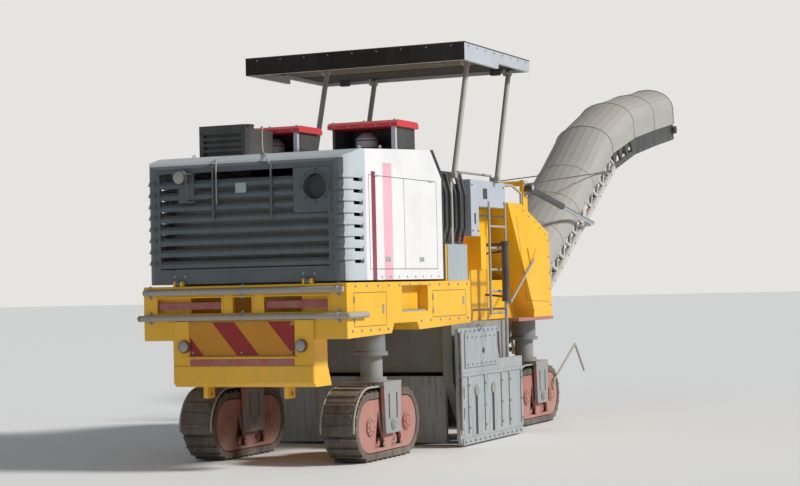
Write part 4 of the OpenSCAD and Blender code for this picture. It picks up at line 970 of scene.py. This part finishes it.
@dataclass
class Sides:
    """Trim of the chassis sides and front block: bolt rows, door seams, treads and tank fittings."""

    rows: tuple[tuple[float, float, float, int], ...] = (
        (0.20, 3.10, 1.765, 12), (0.12, 0.95, 1.33, 5), (1.80, 3.10, 1.39, 6))  # first and last y, z, count
    doors: tuple[Quad, ...] = ((0.16, 0.92, 1.37, 1.70), (2.12, 3.06, 1.42, 1.70))
    pocket: Triple = (1.31, 1.99, 1.49)
    tread: tuple[int, float, float] = (4, 0.022, 0.024)  # bars, first one's distance from the side, step
    tooth: tuple[int, float, float] = (18, 0.034, 0.016)  # teeth on a bar, step, length
    slope: tuple[Pair, ...] = ((4.91, 2.71), (5.88, 2.38), (5.96, 1.38))
    seam: tuple[Pair, ...] = ((4.75, 2.55), (5.05, 1.55), (5.86, 1.52))
    cap: Triple = (0.30, 4.685, 2.755)  # distance from the side, y, z

    def seams(self) -> None:
        """Service doors in the side beams: shut lines, hinges, latches and the bolt rows."""
        seam, metal = Shape(), Shape()
        for side in Side:
            face = side * HALF_W
            for y0, y1, z0, z1 in self.doors:
                seam.shut_lines(side, (y0, y1), (z0, z1))
                for z in (z0 + 0.07, z1 - 0.07):
                    hinge = spot(face + side * 0.006, y0, z)
                    metal.rod(hinge - UP * 0.03, hinge + UP * 0.03, 0.009, 12)
                metal.block(spot(face, y1 - 0.09, z0 + 0.12), spot(face + side * 0.008, y1 - 0.05, z0 + 0.21))
            for y0, y1, z, count in self.rows:
                metal.bolts(spot(face, y0, z), OUT_FRONT * (y1 - y0) / (count - 1), count, side.out, M14)
        seam.place("beam_shut_lines", "chassis", "dark_paint")
        metal.place("beam_bolts", "chassis", "step_grey", 1.0)

    def treads(self) -> None:
        """Serrated tread bars in the step pockets."""
        y0, y1, z = self.pocket
        bars, inset, step = self.tread
        teeth, pitch, length = self.tooth
        shape = Shape()
        for side in Side:
            for i in range(bars):
                x = side * (HALF_W - inset - step * i)
                shape.block(spot(x - 0.004, y0 + 0.03, z), spot(x + 0.004, y1 - 0.03, z + 0.014))
                for y in (y0 + 0.05 + pitch * k for k in range(teeth)):
                    shape.block(spot(x - 0.004, y, z + 0.013), spot(x + 0.004, y + length, z + 0.021))
        shape.place("step_treads", "chassis", "step_grey")

    def tank(self) -> None:
        """Seams, bolts and filler caps of the front block."""
        seam, metal = Shape(), Shape()
        (ya, za), (yb, zb), (yc, zc) = self.slope
        for side in Side:
            face, way = side * HALF_W, side.out
            for start, end in zip(self.seam, self.seam[1:]):
                seam.tube([spot(face, *start), spot(face, *end)], 0.0028, 6)
            for share in (0.1, 0.3, 0.5, 0.7, 0.9):
                metal.bolt(spot(face, ya + (yb - ya) * share - 0.02, za + (zb - za) * share - 0.05), way, M10)
                metal.bolt(spot(face, yb + (yc - yb) * share - 0.05, zb + (zc - zb) * share), way, M10)
            inset, y, z = self.cap
            cap = spot(side * (HALF_W - inset), y, z)
            metal.rod(cap, cap + UP * 0.022, 0.074, 24, 0.94)
            for screw in round_points(cap + UP * 0.020, OUT_RIGHT * 0.052, OUT_FRONT * 0.052, 6):
                metal.rod(screw, screw + UP * 0.008, 0.010, 8)
        seam.place("tank_seams", "chassis", "dark_paint")
        metal.place("tank_fittings", "chassis", "step_grey")

    def build(self) -> None:
        """Makes all trim of the sides."""
        self.seams()
        self.treads()
        self.tank()


# Running gear and drum


@dataclass
class TrackTrim:
    """Bolts, hub caps, guard pipe and guard shoes of one track unit."""

    end: End
    side: Side
    half: float = 0.445
    centre_z: float = 0.355
    shoe_radius: float = 0.335
    shoes: int = 34
    bolt_x: tuple[float, ...] = (-0.14, -0.07, 0.07, 0.14)
    plate_x: float = 0.18
    roller_y: tuple[float, ...] = (-0.315, -0.105, 0.105, 0.315)
    roller_z: float = 0.154
    guard_r: float = 0.036  # how far the guard's face stands outside the loop's own radius
    guard_count: int = 8
    guard_pitch: float = 0.114
    guard_profile: tuple[Pair, ...] = (
        (0.0, -0.001), (0.0, 0.026), (0.024, 0.026), (0.024, 0.010), (0.094, 0.010), (0.094, -0.001))  # along, out

    def __post_init__(self) -> None:
        """Middle of the loop, name of the body and end of the pieces' names."""
        self.middle = spot(self.side * TRACK_X, self.end.value, self.centre_z)
        self.title = f"{self.end.word}_{self.side.word}"
        self.body = f"track_unit_{self.title}"

    def loop_point(self, share: float) -> tuple[Vector, Vector]:
        """Point on the shoes' face. Args: share of the loop. Returns: the point, and the way out of the loop."""
        r, straight = self.shoe_radius, 2 * self.half
        arc = math.pi * r
        run = share * 2 * (straight + arc)
        front = run < straight + arc
        run -= 0.0 if front else straight + arc
        way = 1 if front else -1
        turn = max(run - straight, 0.0) / r
        out = Vector((0, math.sin(turn), math.cos(turn))) * way
        return self.middle + Vector((0, (min(run, straight) - self.half) * way, 0)) + out * r, out

    def shoe_bolts(self) -> None:
        """Four bolt heads on each shoe."""
        shape = Shape()
        for i in range(self.shoes):
            at, out = self.loop_point((i + 0.70) / self.shoes)
            for x in self.bolt_x:
                foot = at + OUT_RIGHT * x
                shape.rod(foot - out * SUNK, foot + out * 0.010, 0.012, 6, 0.94)
        shape.place(f"shoe_bolts_{self.title}", self.body, "shoe_iron")

    def hubs(self) -> None:
        """Covers on both wheels with their bolt circles, and caps over the rollers' axles."""
        shape = Shape()
        for way in (OUT_LEFT, OUT_RIGHT):
            for y in (-self.half, self.half):
                hub = self.middle + OUT_FRONT * y + way * (self.plate_x + 0.0115)
                shape.rod(hub, hub + way * 0.010, 0.046, 24, 0.9)
                for at in round_points(hub, OUT_FRONT * 0.070, UP * 0.070, 8):
                    shape.bolt(at, way, M10)
            for y in self.roller_y:
                at = Vector((self.middle.x, self.middle.y + y, self.roller_z)) + way * (self.plate_x - 0.007)
                shape.rod(at, at + way * 0.006, 0.030, 18, 0.92)
                shape.bolt(at + way * 0.005, way, M12)
            pin = self.middle + way * (self.plate_x + 0.0645)
            shape.rod(pin, pin + way * 0.008, 0.045, 24, 0.92)
            for at in round_points(pin + way * 0.007, OUT_FRONT * 0.030, UP * 0.030, 6):
                shape.bolt(at, way, 0.011)
        shape.place(f"hub_covers_{self.title}", self.body, "dusty_red", 1.5)

    def guard_pipe(self) -> None:
        """Pipe bent round both edges of the guard over the rear of the loop."""
        shape = Shape()
        radius = self.centre_z + self.guard_r + SUNK
        for side in Side:
            middle = self.middle + OUT_REAR * self.half + OUT_RIGHT * side * self.plate_x
            bend = arc_points(middle, UP * radius, OUT_REAR * radius, range(0, 97, 8))
            shape.tube([bend[0] + OUT_FRONT * 0.24] + bend, 0.011, 10)
        shape.place(f"guard_pipe_{self.title}", self.body, "rail_paint")

    def guard_shoes(self) -> None:
        """Plates with a raised bar each, as deep as the shoes, on the guard between its pipes."""
        shape = Shape()
        radius, half = self.centre_z + self.guard_r, self.plate_x - 0.020
        for k in range(self.guard_count):
            outline = []
            for along, out in self.guard_profile:
                run = (k - 2) * self.guard_pitch + 0.010 + along
                turn, level = max(run, 0.0) / radius, min(run, 0.0)
                outline.append((self.end.value - self.half - level - math.sin(turn) * (radius + out),
                                self.centre_z + math.cos(turn) * (radius + out)))
            shape.prism(outline, self.middle.x - half, self.middle.x + half)
        shape.place(f"guard_shoes_{self.title}", self.body, "shoe_iron", 2)

    def build(self) -> None:
        """Makes the trim of this unit."""
        self.guard_shoes()
        self.shoe_bolts()
        self.hubs()
        self.guard_pipe()


@dataclass
class SidePlateTrim:
    """Bolts, edge guards and lifting eye of one side plate."""

    side: Side
    face: float = 1.275
    rib: float = 0.012  # how far the ribs stand out of the plate
    y0: float = 2.45
    top: float = 1.28
    rows: tuple[tuple[float, float, float, float, int, float], ...] = (
        (0.0, 0.08, 1.25, 0.135, 9, 0.020),
        (0.012, 0.24, 1.18, 0.135, 7, 0.018),
        (0.012, 0.24, 0.885, 0.135, 7, 0.018),
        (0.014, 0.12, 0.055, 0.143, 13, 0.022),
    )  # out of the face, first y from y0, z, step, count, head
    posts: tuple[float, ...] = (2.49, 2.71, 3.205, 3.72, 3.98, 4.36)
    post_z: tuple[float, ...] = (0.20, 0.42, 0.66)
    eye_y: float = 3.05
    edges: tuple[tuple[float, tuple[Triple, ...]], ...] = (
        (0.014, ((0.0, 2.464, 1.24), (0.006, 2.460, 0.95), (0.004, 2.466, 0.60), (0.0, 2.472, 0.20))),
        (0.012, ((0.0, 3.640, 1.22), (0.004, 3.645, 1.05), (0.0, 3.690, 0.92))),
    )  # radius of each edge guard, and its points as out of the rib, y, z

    def build(self) -> None:
        """Makes the trim of this plate."""
        way, body = self.side.out, f"side_plate_{self.side.word}"
        rib = self.face + self.rib
        bolts = Shape()
        for out, first, z, step, count, head in self.rows:
            bolts.bolts(spot(self.side * (self.face + out), self.y0 + first, z), OUT_FRONT * step, count, way, head)
        for y in self.posts:
            for z in self.post_z:
                bolts.bolt(spot(self.side * rib, y, z), way, M14)
        bolts.ring(spot(self.side * rib, self.eye_y, self.top + 0.002), OUT_REAR, 0.028, 0.009, 20)
        bolts.place(f"plate_bolts_{self.side.word}", body, "wear_plate")
        guard = Shape()
        for radius, path in self.edges:
            guard.tube([spot(self.side * (rib + out), y, z) for out, y, z in path], radius, 12)
        guard.place(f"plate_edge_guards_{self.side.word}", body, "belt_rubber")


@dataclass
class Drum:
    """Finish of the drum and its picks, which the cutting polishes."""

    y: float = 3.45
    z: float = 0.535
    tip_radius: float = 0.49
    tip_length: float = 0.045

    def build(self) -> None:
        """Gives drum and picks one steel, dark and brown on the tube and bright at the cutting circle."""
        steel = PickSteel("pick_and_drum_steel", "#5B5148", roughness=0.6, metallic=0.3, coat=0.0, dust=(0.6, 0.10),
                          grain=0.5, grain_mm=6.0, axis=(0.0, REAR_Y + self.y, self.z),
                          bright_from=self.tip_radius - self.tip_length)
        node = frame["nodes"]["milling_drum"]
        node.data.materials.clear()
        node.data.materials.append(steel.build())


# Conveyor


@dataclass
class Conveyor:
    """Trim of the discharge conveyor: hoops and rim of the cover, chord bolts, belt cleats and hoses."""

    pivot: Pair = (6.76, 1.16)
    rise: float = 30.0
    straight: float = 4.85
    section: float = 1.17
    bends: tuple[float, ...] = (0.0, 15.0, 20.0, 21.0)
    half: float = 0.4473
    arch: float = 0.312
    arch_step: float = 15.0
    skirt: float = 0.115
    spring: tuple[float, ...] = (0.20, 0.26, 0.38, 0.39, 0.39)
    knees: tuple[int, ...] = (1, 2, 3, 4)
    hoop_s: tuple[float, ...] = (0.37, 1.20, 2.05, 2.90, 3.75)
    hoop_r: tuple[float, ...] = (0.006, 0.010, 0.010, 0.010, 0.014)
    rows: tuple[tuple[float, float, float, float, int, float], ...] = (
        (0.449, -0.115, -0.3, 0.35, 15, M14),
        (0.4473, 0.15, 0.45, 0.25, 18, M8),
    )  # bolts along the lower chord and along the skirt: x, t, first s, step, count, head
    head_row: Pair = (0.4352, -0.12)  # x and t of the bolts on the bent head
    cleat: tuple[int, float, float, float] = (14, 0.35, 0.30, 0.088)  # count, pitch, half width, t
    hose_x: Pair = (-0.466, -0.455)
    hose_s: tuple[float, ...] = (0.1, 1.5, 2.4, 3.6, 4.6)
    hose_t: Pair = (-0.092, -0.124)
    clip_s: tuple[float, ...] = (0.6, 1.7, 2.8, 3.7, 4.5)
    clip: Quad = (-0.481, -0.449, -0.145, -0.078)
    drive: Triple = (0.436, 0.500, 0.070)  # inner and outer x, radius

    def at(self, x: float, s: float, t: float) -> Vector:
        """Point at s along the line that rises from the pivot, and t square to it."""
        a = math.radians(self.rise)
        y, z = s * math.cos(a) - t * math.sin(a), s * math.sin(a) + t * math.cos(a)
        return spot(x, self.pivot[0] + y, self.pivot[1] + z)

    def knee(self, k: int) -> Pair:
        """Middle line at knee k, as s and t. The first is where the straight part ends."""
        s, t = self.straight, 0.0
        for bend in self.bends[1:k]:
            turn = math.radians(bend)
            s, t = s + self.section * math.cos(turn), t - self.section * math.sin(turn)
        return s, t

    def lean(self, k: int) -> Pair:
        """Direction along the mitre at knee k, as s and t."""
        back, before = math.radians(self.bends[min(k, 3)]), math.radians(self.bends[k - 1])
        middle, share = (back + before) / 2, 1 / math.cos((back - before) / 2)
        return math.sin(middle) * share, math.cos(middle) * share

    def hoop(self, k: int, s: float = 0.0, grow: float = SUNK) -> list[Vector]:
        """Line over the cover.

        Args:
            k: Number of the knee, or 0 on the straight part.
            s: Place on the straight part.
            grow: How far outside the cover it runs.

        Returns:
            Its points from the left skirt to the right one.
        """
        ks, kt, ls, lt = (*self.knee(k), *self.lean(k)) if k else (s, 0.0, 0.0, 1.0)
        wide = self.half + grow
        arch = [(wide * math.cos(a), self.spring[k] + (self.arch + grow) * math.sin(a))
                for a in (math.radians(90 - self.arch_step * i) for i in range(7))]
        right = arch + [(wide, self.skirt)]
        line = [(-x, t) for x, t in right[:0:-1]] + [(-right[0][0], right[0][1])] + right[1:]
        return [self.at(x, ks + t * ls, kt + t * lt) for x, t in line]

    def hoops(self) -> None:
        """Pressed hoops over the cover and the rolled rims at its two ends."""
        shape = Shape()
        for s in self.hoop_s:
            shape.tube(self.hoop(0, s), self.hoop_r[0], 8)
        for k in self.knees:
            shape.tube(self.hoop(k), self.hoop_r[k], 8)
        shape.place("cover_hoops", "conveyor", "cover_grey")

    def bolts(self) -> None:
        """Bolts along the lower chords and along the skirts of the cover."""
        shape = Shape()
        for side in Side:
            for x, low, first, step, count, head in self.rows:
                for i in range(count):
                    shape.bolt(self.at(side * x, first + step * i, low), side.out, head)
            x, low = self.head_row
            for (s0, t0), (s1, t1) in zip(map(self.knee, self.knees), map(self.knee, self.knees[1:])):
                for share in (0.2, 0.5, 0.8):
                    at = self.at(side * x, s0 + (s1 - s0) * share, t0 + (t1 - t0) * share + low)
                    shape.bolt(at, side.out, M12)
        shape.place("conveyor_bolts", "conveyor", "step_grey")

    def cleats(self) -> None:
        """Moulded V cleats on the belt's carrying face."""
        shape = Shape()
        count, pitch, half, t = self.cleat
        for i in range(count):
            s = -0.15 + pitch * i
            for side in Side:
                shape.tube([self.at(0, s + 0.12, t), self.at(side * half, s, t)], 0.012, 8)
        shape.place("belt_cleats", "conveyor", "belt_rubber")

    def hoses(self) -> None:
        """Pair of hoses to the head's drive, clipped along the left truss, and the drive's housings on both sides."""
        shape, clips = Shape(), Shape()
        ends = [self.knee(k) for k in self.knees]
        for low in self.hose_t:
            path = [self.at(self.hose_x[0], s, low) for s in self.hose_s]
            path += [self.at(self.hose_x[1], s - 0.04, t + low) for s, t in ends]
            shape.tube(path, 0.0125, 10)
        x0, x1, t0, t1 = self.clip
        for s in self.clip_s:
            clips.block(self.at(x0, s - 0.02, t0), self.at(x1, s + 0.02, t1))
        s, t = ends[-1]
        inner, outer, radius = self.drive
        for side in Side:
            start, end = (self.at(side * x, s - 0.05, t + 0.035) for x in (inner, outer))
            clips.rod(start, end, radius, 24, 0.9)
        shape.place("conveyor_hoses", "conveyor", "hose_rubber")
        clips.place("hose_clips", "conveyor", "dark_paint", 2)

    def build(self) -> None:
        """Makes all trim of the conveyor."""
        self.hoops()
        self.bolts()
        self.cleats()
        self.hoses()


@dataclass
class Mast:
    """Trim of the slewing mast: keeper plates, gussets, and the two stays to the conveyor."""

    plate_x: float = 0.51
    plate: float = 0.012
    pins: tuple[Triple, ...] = ((0.615, 6.78, 3.0), (0.51, 6.76, 1.16))
    gusset: tuple[Pair, ...] = ((6.70, 3.095), (6.86, 3.095), (6.90, 2.98), (6.82, 2.86), (6.74, 2.98))
    gusset_bolts: tuple[Pair, ...] = ((6.73, 3.06), (6.84, 3.06), (6.82, 2.92))
    stay_top: Triple = (0.540, 6.83, 3.055)
    stay_foot: Triple = (0.462, 4.55, -0.03)  # x, s and t on the conveyor
    stretch: float = 0.13  # share of a stay at its top, where its points crowd

    def knuckles(self) -> None:
        """Keeper plates and bolts over the cylinder pins, and gussets under the cross tube."""
        shape = Shape()
        for side in Side:
            way, outer = side.out, side * self.plate_x
            for x, y, z in self.pins:
                pin = spot(side * x, y, z)
                shape.rod(pin, pin + way * 0.010, 0.038, 20, 0.92)
                for turn in (0.5, 2.6, 4.7):
                    shape.bolt(pin + way * 0.009 + Vector((0, math.cos(turn), math.sin(turn))) * 0.024, way, 0.010)
            shape.prism(self.gusset, outer, outer + side * self.plate)
            for y, z in self.gusset_bolts:
                shape.bolt(spot(outer + side * self.plate, y, z), way, M14)
            shape.bolts(spot(outer, 6.70, 1.0), Vector((0, 0.012, 0.30)), 6, way, M12)
        shape.place("mast_knuckles", "slew_cradle", "canopy_grey", 1.5)

    def stays(self) -> None:
        """Wire stays from the mast's head to the conveyor."""
        for side in Side:
            line = Shape()
            (x, y, z), (foot_x, s, t) = self.stay_top, self.stay_foot
            top, foot = spot(side * x, y, z), Conveyor().at(side * foot_x, s, t)
            # The wire runs nearly through the lift's own arc, and its points crowd into its top stretch
            shares = [k * self.stretch / 8 for k in range(8)] + [self.stretch, 0.35, 0.6, 0.8, 1.0]
            line.tube([top + (foot - top) * share for share in shares], 0.008, 8)
            piece = line.place(f"stay_{side.word}", "", "dark_paint")
            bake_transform(piece)
            ends = Shape()
            ends.ring(foot, OUT_RIGHT, 0.020, 0.007, 18)
            ends.rod(foot - OUT_RIGHT * side * 0.03, foot + OUT_RIGHT * side * 0.012, 0.011, 12)
            ends.place(f"stay_lug_{side.word}", "conveyor", "dark_paint")

    def build(self) -> None:
        """Makes all trim of the mast."""
        self.knuckles()
        self.stays()


# Operator's place


@dataclass
class Canopy:
    """Trim of the folding roof: underside liner, drip edge, bolts and lamps."""

    half: float = 1.35
    y0: float = 2.65
    y1: float = 4.72
    under: float = 4.20
    top: float = 4.40
    lip: float = 0.045
    # Depth of the black band of painted shade under the roof's front
    band: float = 0.75
    lamps: tuple[Triple, ...] = ((2.79, 4.235, -1), (4.56, 4.275, 1))  # y, z, and -1 rearward or 1 forward
    lamp_x: Pair = (-1.0, 0.98)
    case: Quad = (0.055, -0.045, 0.030, 0.045)  # half width, back, front, half height
    glass: Quad = (0.047, 0.029, 0.036, 0.037)

    def sheets(self) -> None:
        """Liner under the roof, with a black sheet over its rear edge, partly painted shade, and a black band of
        painted shade under its front third.
        """
        inner, lip = self.half - self.lip, self.lip
        liner = Shape().block(spot(-inner, self.y0 + lip, self.top - 0.098),
                              spot(inner, self.y1 - lip, self.top - 0.092))
        liner.place("roof_liner", "canopy_roof", "liner_board", 2)
        # Black sheet over the roof's rear edge: partly its own dark paint, partly painted shade
        fascia = Shape().block(spot(-self.half, self.y0 - 0.003, self.under),
                               spot(self.half, self.y0 + SUNK, self.top - SUNK))
        fascia.place("roof_black_edge_and_shade", "canopy_roof", "black_and_painted_shade", 1)
        # Black band under the front third of the roof: painted shade
        inner, lip = inner - 0.005, lip + 0.005
        band = Shape().block(spot(-inner, self.y1 - self.band, self.top - 0.102),
                             spot(inner, self.y1 - lip, self.top - 0.096))
        band.place("roof_liner_band", "canopy_roof", "black_and_painted_shade")

    def edges(self) -> None:
        """Drip edge round the roof and the bolts along its sides and rear."""
        edge, bolts = Shape(), Shape()
        corners = [(-self.half, self.y0), (self.half, self.y0), (self.half, self.y1), (-self.half, self.y1)]
        for start, end in zip(corners, corners[1:] + corners[:1]):
            edge.tube([spot(*start, self.top - 0.004), spot(*end, self.top - 0.004)], 0.007, 8)
        edge.place("roof_drip_edge", "canopy_roof", "dark_paint")
        z = self.top - 0.035
        for side in Side:
            bolts.bolts(spot(side * self.half, self.y0 + 0.12, z), OUT_FRONT * 0.26, 8, side.out, M10)
        bolts.bolts(spot(-1.2, self.y0, z), OUT_RIGHT * 0.30, 9, OUT_REAR, M10)
        bolts.place("roof_bolts", "canopy_roof", "step_grey")

    def work_lamps(self) -> None:
        """Square lamps under the roof's corners."""
        case, glass = Shape(), Shape()
        for x in self.lamp_x:
            for y, z, way in self.lamps:
                at = spot(x, y, z)
                for shape, (wide, back, front, tall) in ((case, self.case), (glass, self.glass)):
                    shape.block(at + Vector((-wide, back * way, -tall)), at + Vector((wide, front * way, tall)))
                case.rod(at, at + UP * 0.08, 0.010, 10)
        case.place("roof_lamp_cases", "canopy_roof", "dark_paint", 6)
        glass.place("roof_lamp_glass", "canopy_roof", "lamp_clear", 3)

    def build(self) -> None:
        """Makes all trim of the roof."""
        self.sheets()
        self.edges()
        self.work_lamps()


@dataclass
class Platform:
    """Operator's platform: seat cushions on a pedestal, desk controls, floor treads and console fittings."""

    seat_x: float = 0.475
    cushion_at: Pair = (3.23, 2.305)  # y, z
    cushion_half: Triple = (0.215, 0.20, 0.042)
    back_at: Pair = (2.99, 2.60)
    back_half: Triple = (0.205, 0.235, 0.032)
    back_turn: float = -86.0
    crown: float = 0.12  # swell of the cushions' middle, as a share of half the thickness
    pull: float = 0.045  # how far the sides pull in between the corners, as a share
    steps: int = 12
    pan: Quad = (3.03, 3.42, 2.253, 2.266)  # y0, y1, z0, z1
    pan_half: float = 0.19
    stem_y: float = 3.25
    stem_r: Pair = (0.055, 0.13)  # of the stem and of its foot
    arms: tuple[Pair, ...] = ((3.20, 2.26), (2.985, 2.28), (2.957, 2.50))
    deck: float = 1.80
    desk_low: Pair = (4.05, 2.64)  # lower edge of the desk's slanted face: y, z
    desk_run: Pair = (0.20, 0.12)  # from there to its upper edge
    desk_out: Triple = (0.0, -0.514, 0.857)
    screens: Pair = (-0.18, 0.16)
    screen: Triple = (0.085, 0.30, 0.92)  # half width, lower and upper share of the slanted face
    keys: tuple[Quad, ...] = (  # x, share, height, radius
        (-0.44, 0.45, 0.012, 0.008), (0.29, 0.45, 0.012, 0.008), (0.29, 0.75, 0.010, 0.006))
    stick_x: Pair = (-0.33, 0.40)
    stick: tuple[Pair, ...] = (
        (0.0, 0.030), (0.018, 0.024), (0.03, 0.012), (0.06, 0.012), (0.085, 0.02), (0.12, 0.018), (0.13, 0.008))
    chequers: tuple[tuple[float, int, float], ...] = ((-0.80, 28, 0.0585), (3.50, 22, 0.0245))  # first, count, step
    diamond: Quad = (0.016, 0.008, 0.22, 0.003)  # half its length along X and Y, width as a share, height
    # Inner and outer x of the black sheets that paint shade on the walls under the consoles
    liner_x: Pair = (0.879, 0.884)
    liner: Quad = (3.19, 3.56, 2.21, 2.90)  # y0, y1, z0, z1, as in the next two
    window: Quad = (3.745, 3.875, 2.735, 2.845)
    latch: Quad = (3.46, 3.49, 2.44, 2.56)
    console_bolts: tuple[Pair, ...] = ((3.40, 2.36), (3.40, 2.88), (4.40, 2.88), (4.40, 2.70), (3.56, 2.36))
    bottle: Triple = (0.135, 3.255, 2.288)  # valve of the extinguisher: distance from the side, y, z

    def cushion(self, name: str, turn: Matrix, half: Vector) -> None:
        """Crowned vinyl cushion with a piped seam, whose sides pull in between the corners.

        Args:
            name: Name of the piece.
            turn: Place and direction of the cushion.
            half: Half its width, depth and thickness.
        """
        shape, last = Shape(), self.steps
        border: dict[tuple[int, int], bmesh.types.BMVert] = {}
        grids = []
        for face in (1, -1):
            grid = []
            for i in range(last + 1):
                row = []
                for j in range(last + 1):
                    u, v = 2 * i / last - 1, 2 * j / last - 1
                    edge = i in (0, last) or j in (0, last)
                    if edge and (i, j) in border:
                        row.append(border[i, j])
                        continue
                    swell = ((1 - u**6) * (1 - v**6)) ** 0.4
                    channel = 1 - 0.16 * math.exp(-((abs(v) - 0.45) * 14) ** 2)
                    rise = swell * channel * (1 + self.crown * (1 - u * u) * (1 - v * v))
                    vert = shape.bm.verts.new(turn @ Vector((
                        half.x * u * (1 - self.pull * (1 - v * v) * abs(u) ** 3),
                        half.y * v * (1 - self.pull * (1 - u * u) * abs(v) ** 3),
                        0.0 if edge else face * half.z * rise)))
                    if edge:
                        border[i, j] = vert
                    row.append(vert)
                grid.append(row)
            grids.append((face, grid))
        for face, grid in grids:
            for i in range(last):
                for j in range(last):
                    shape.bm.faces.new((grid[i][j], grid[i + 1][j], grid[i + 1][j + 1], grid[i][j + 1])[::face])
        piece = shape.place(name, "chassis", "seat_vinyl", smooth=180)
        smooth = piece.modifiers.new("crown", "SUBSURF")
        smooth.levels = smooth.render_levels = 1
        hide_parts("operator_seat")
        side = [-1 + k / 4 for k in range(8)]
        square = [(u, -1) for u in side] + [(1, v) for v in side] + [(-u, 1) for u in side] + [(-1, -v) for v in side]
        inward = [((1 - self.pull * (1 - v * v)) * u, (1 - self.pull * (1 - u * u)) * v) for u, v in square]
        loop = [turn @ Vector((half.x * u, half.y * v, 0)) for u, v in inward]
        Shape().tube(loop + loop[:1], 0.005, 6).place(f"{name}_piping", "chassis", "belt_rubber")

    def seat(self) -> None:
        """Cushions, pan and pedestal."""
        x = self.seat_x
        self.cushion("seat_cushion", Matrix.Translation(spot(x, *self.cushion_at)), Vector(self.cushion_half))
        turn = Matrix.Translation(spot(x, *self.back_at)) @ Matrix.Rotation(math.radians(self.back_turn), 4, "X")
        self.cushion("back_cushion", turn, Vector(self.back_half))
        (y0, y1, z0, z1), half = self.pan, self.pan_half
        pan = Shape().block(spot(x - half, y0, z0), spot(x + half, y1, z1))
        foot = spot(x, self.stem_y, self.deck)
        pan.rod(foot, spot(x, self.stem_y, z0 + 0.002), self.stem_r[0], 24)
        pan.rod(foot, foot + UP * 0.02, self.stem_r[1], 24, 0.8)
        for side in Side:
            pan.tube([spot(x + side * half, y, z) for y, z in self.arms], 0.012, 10)
        pan.place("seat_frame", "chassis", "dark_paint", 2)

    def desk(self) -> None:
        """Blank screens, switches, knobs and two joysticks on the desk's slanted face."""
        out = Vector(self.desk_out)
        along = Vector((0, out.z, -out.y))
        keys, glass, grips, stop = Shape(), Shape(), Shape(), Shape()

        def face(x: float, share: float) -> Vector:
            """Point on the slanted face, with share running up it."""
            (y, z), (run_y, run_z) = self.desk_low, self.desk_run
            return spot(x, y + run_y * share, z + run_z * share)

        half, low, high = self.screen
        for x in self.screens:
            ring = [face(x - half, low), face(x + half, low), face(x + half, high), face(x - half, high)]
            keys.solid([ring, [p + out * 0.016 for p in ring]])
            inner = [p + (face(x, (low + high) / 2) - p) * 0.12 for p in ring]
            glass.solid([[p + out * 0.0155 for p in inner], [p + out * 0.0175 for p in inner]])
        for i in range(8):
            for x, share, height, radius in self.keys:
                at = face(x + 0.022 * i, share)
                keys.rod(at, at + out * height, radius, 10)
        for x in self.stick_x:
            grips.solid([round_points(face(x, 0.12) + out * h, OUT_RIGHT * r, along * r, 18) for h, r in self.stick])
        at = face(0.0, 0.5)
        stop.rod(at, at + out * 0.020, 0.012, 16)
        stop.rod(at + out * 0.018, at + out * 0.032, 0.024, 20, 0.85)
        keys.place("desk_switches", "chassis", "console_grey", 1.5)
        glass.place("desk_screens", "chassis", "screen_glass")
        grips.place("desk_joysticks", "chassis", "belt_rubber")
        stop.place("stop_button", "chassis", "signal_red")

    def floor(self) -> None:
        """Raised diamonds of the chequer plate floor."""
        shape = Shape()
        (x, count_x, step_x), (y, count_y, step_y) = self.chequers
        long, skew, share, height = self.diamond
        for i in range(count_x):
            for k in range(count_y):
                at = spot(x + step_x * i, y + step_y * k, self.deck + height / 2)
                way = Vector((long, skew if (i + k) % 2 else -skew, 0))
                side = Vector((-way.y, way.x, 0)) * share
                top = at + UP * height
                shape.solid([[at - way, at + side, at + way, at - side],
                             [top - way * 0.7, top + side * 0.6, top + way * 0.7, top - side * 0.6]])
        shape.place("floor_chequers", "chassis", "step_grey")

    def liners(self) -> None:
        """Black sheets on the walls beside the open bays: painted shade under the consoles."""
        sheet = Shape()
        inner, outer = self.liner_x
        y0, y1, z0, z1 = self.liner
        for side in Side:
            sheet.block(spot(side * inner, y0, z0), spot(side * outer, y1, z1))
        sheet.place("bay_liners", "chassis", "dark_paint")

    def consoles(self) -> None:
        """Windows, latches and bolts of the side consoles, and the extinguisher's valve and hose."""
        glass, metal = Shape(), Shape()
        for side in Side:
            inner, face = side * (HALF_W - 0.045), side * (HALF_W - 0.030)
            y0, y1, z0, z1 = self.window
            glass.block(spot(inner, y0, z0), spot(inner + side * 0.004, y1, z1))
            for y, z in self.console_bolts:
                metal.bolt(spot(face, y, z), side.out, M10)
            y0, y1, z0, z1 = self.latch
            metal.block(spot(face, y0, z0), spot(face + side * 0.008, y1, z1))
        inset, y, z = self.bottle
        valve = spot(HALF_W - inset, y, z)
        bend = ((0.0, 0.012), (0.03, 0.035), (0.062, 0.0), (0.066, -0.16))
        metal.tube([valve + Vector((0, *step)) for step in bend], 0.008, 8)
        metal.block(valve + Vector((-0.012, -0.045, 0.030)), valve + Vector((0.012, 0.03, 0.042)))
        glass.place("console_windows", "chassis", "screen_glass")
        metal.place("console_fittings", "chassis", "dark_paint", 1.5)

    def build(self) -> None:
        """Makes everything on the platform."""
        self.seat()
        self.desk()
        self.floor()
        self.liners()
        self.consoles()


def dress_nodes() -> None:
    """Gives each CAD node the finish of its record slot."""
    for row in frame["record"]["subparts"]:
        node = frame["nodes"][row["node"]]
        node.data.materials.clear()
        node.data.materials.append(finish_of(row["material_slot"]))
        LOG.info("%s is %s", row["node"], row["material_slot"])


def main() -> None:
    """Builds the scene in order."""
    logging.basicConfig(level=logging.INFO, format="%(name)s: %(message)s")
    Studio().build()
    dress_nodes()
    parts = [RearFace(), Hood(), Sides(), Drum(), Conveyor(), Mast(), Canopy(), Platform()]
    parts += [TrackTrim(end, side) for end in End for side in Side]
    parts += [SidePlateTrim(side) for side in Side]
    for part in parts:
        part.build()
        LOG.info("%s is built", type(part).__name__)


if __name__ == "__main__":
    main()
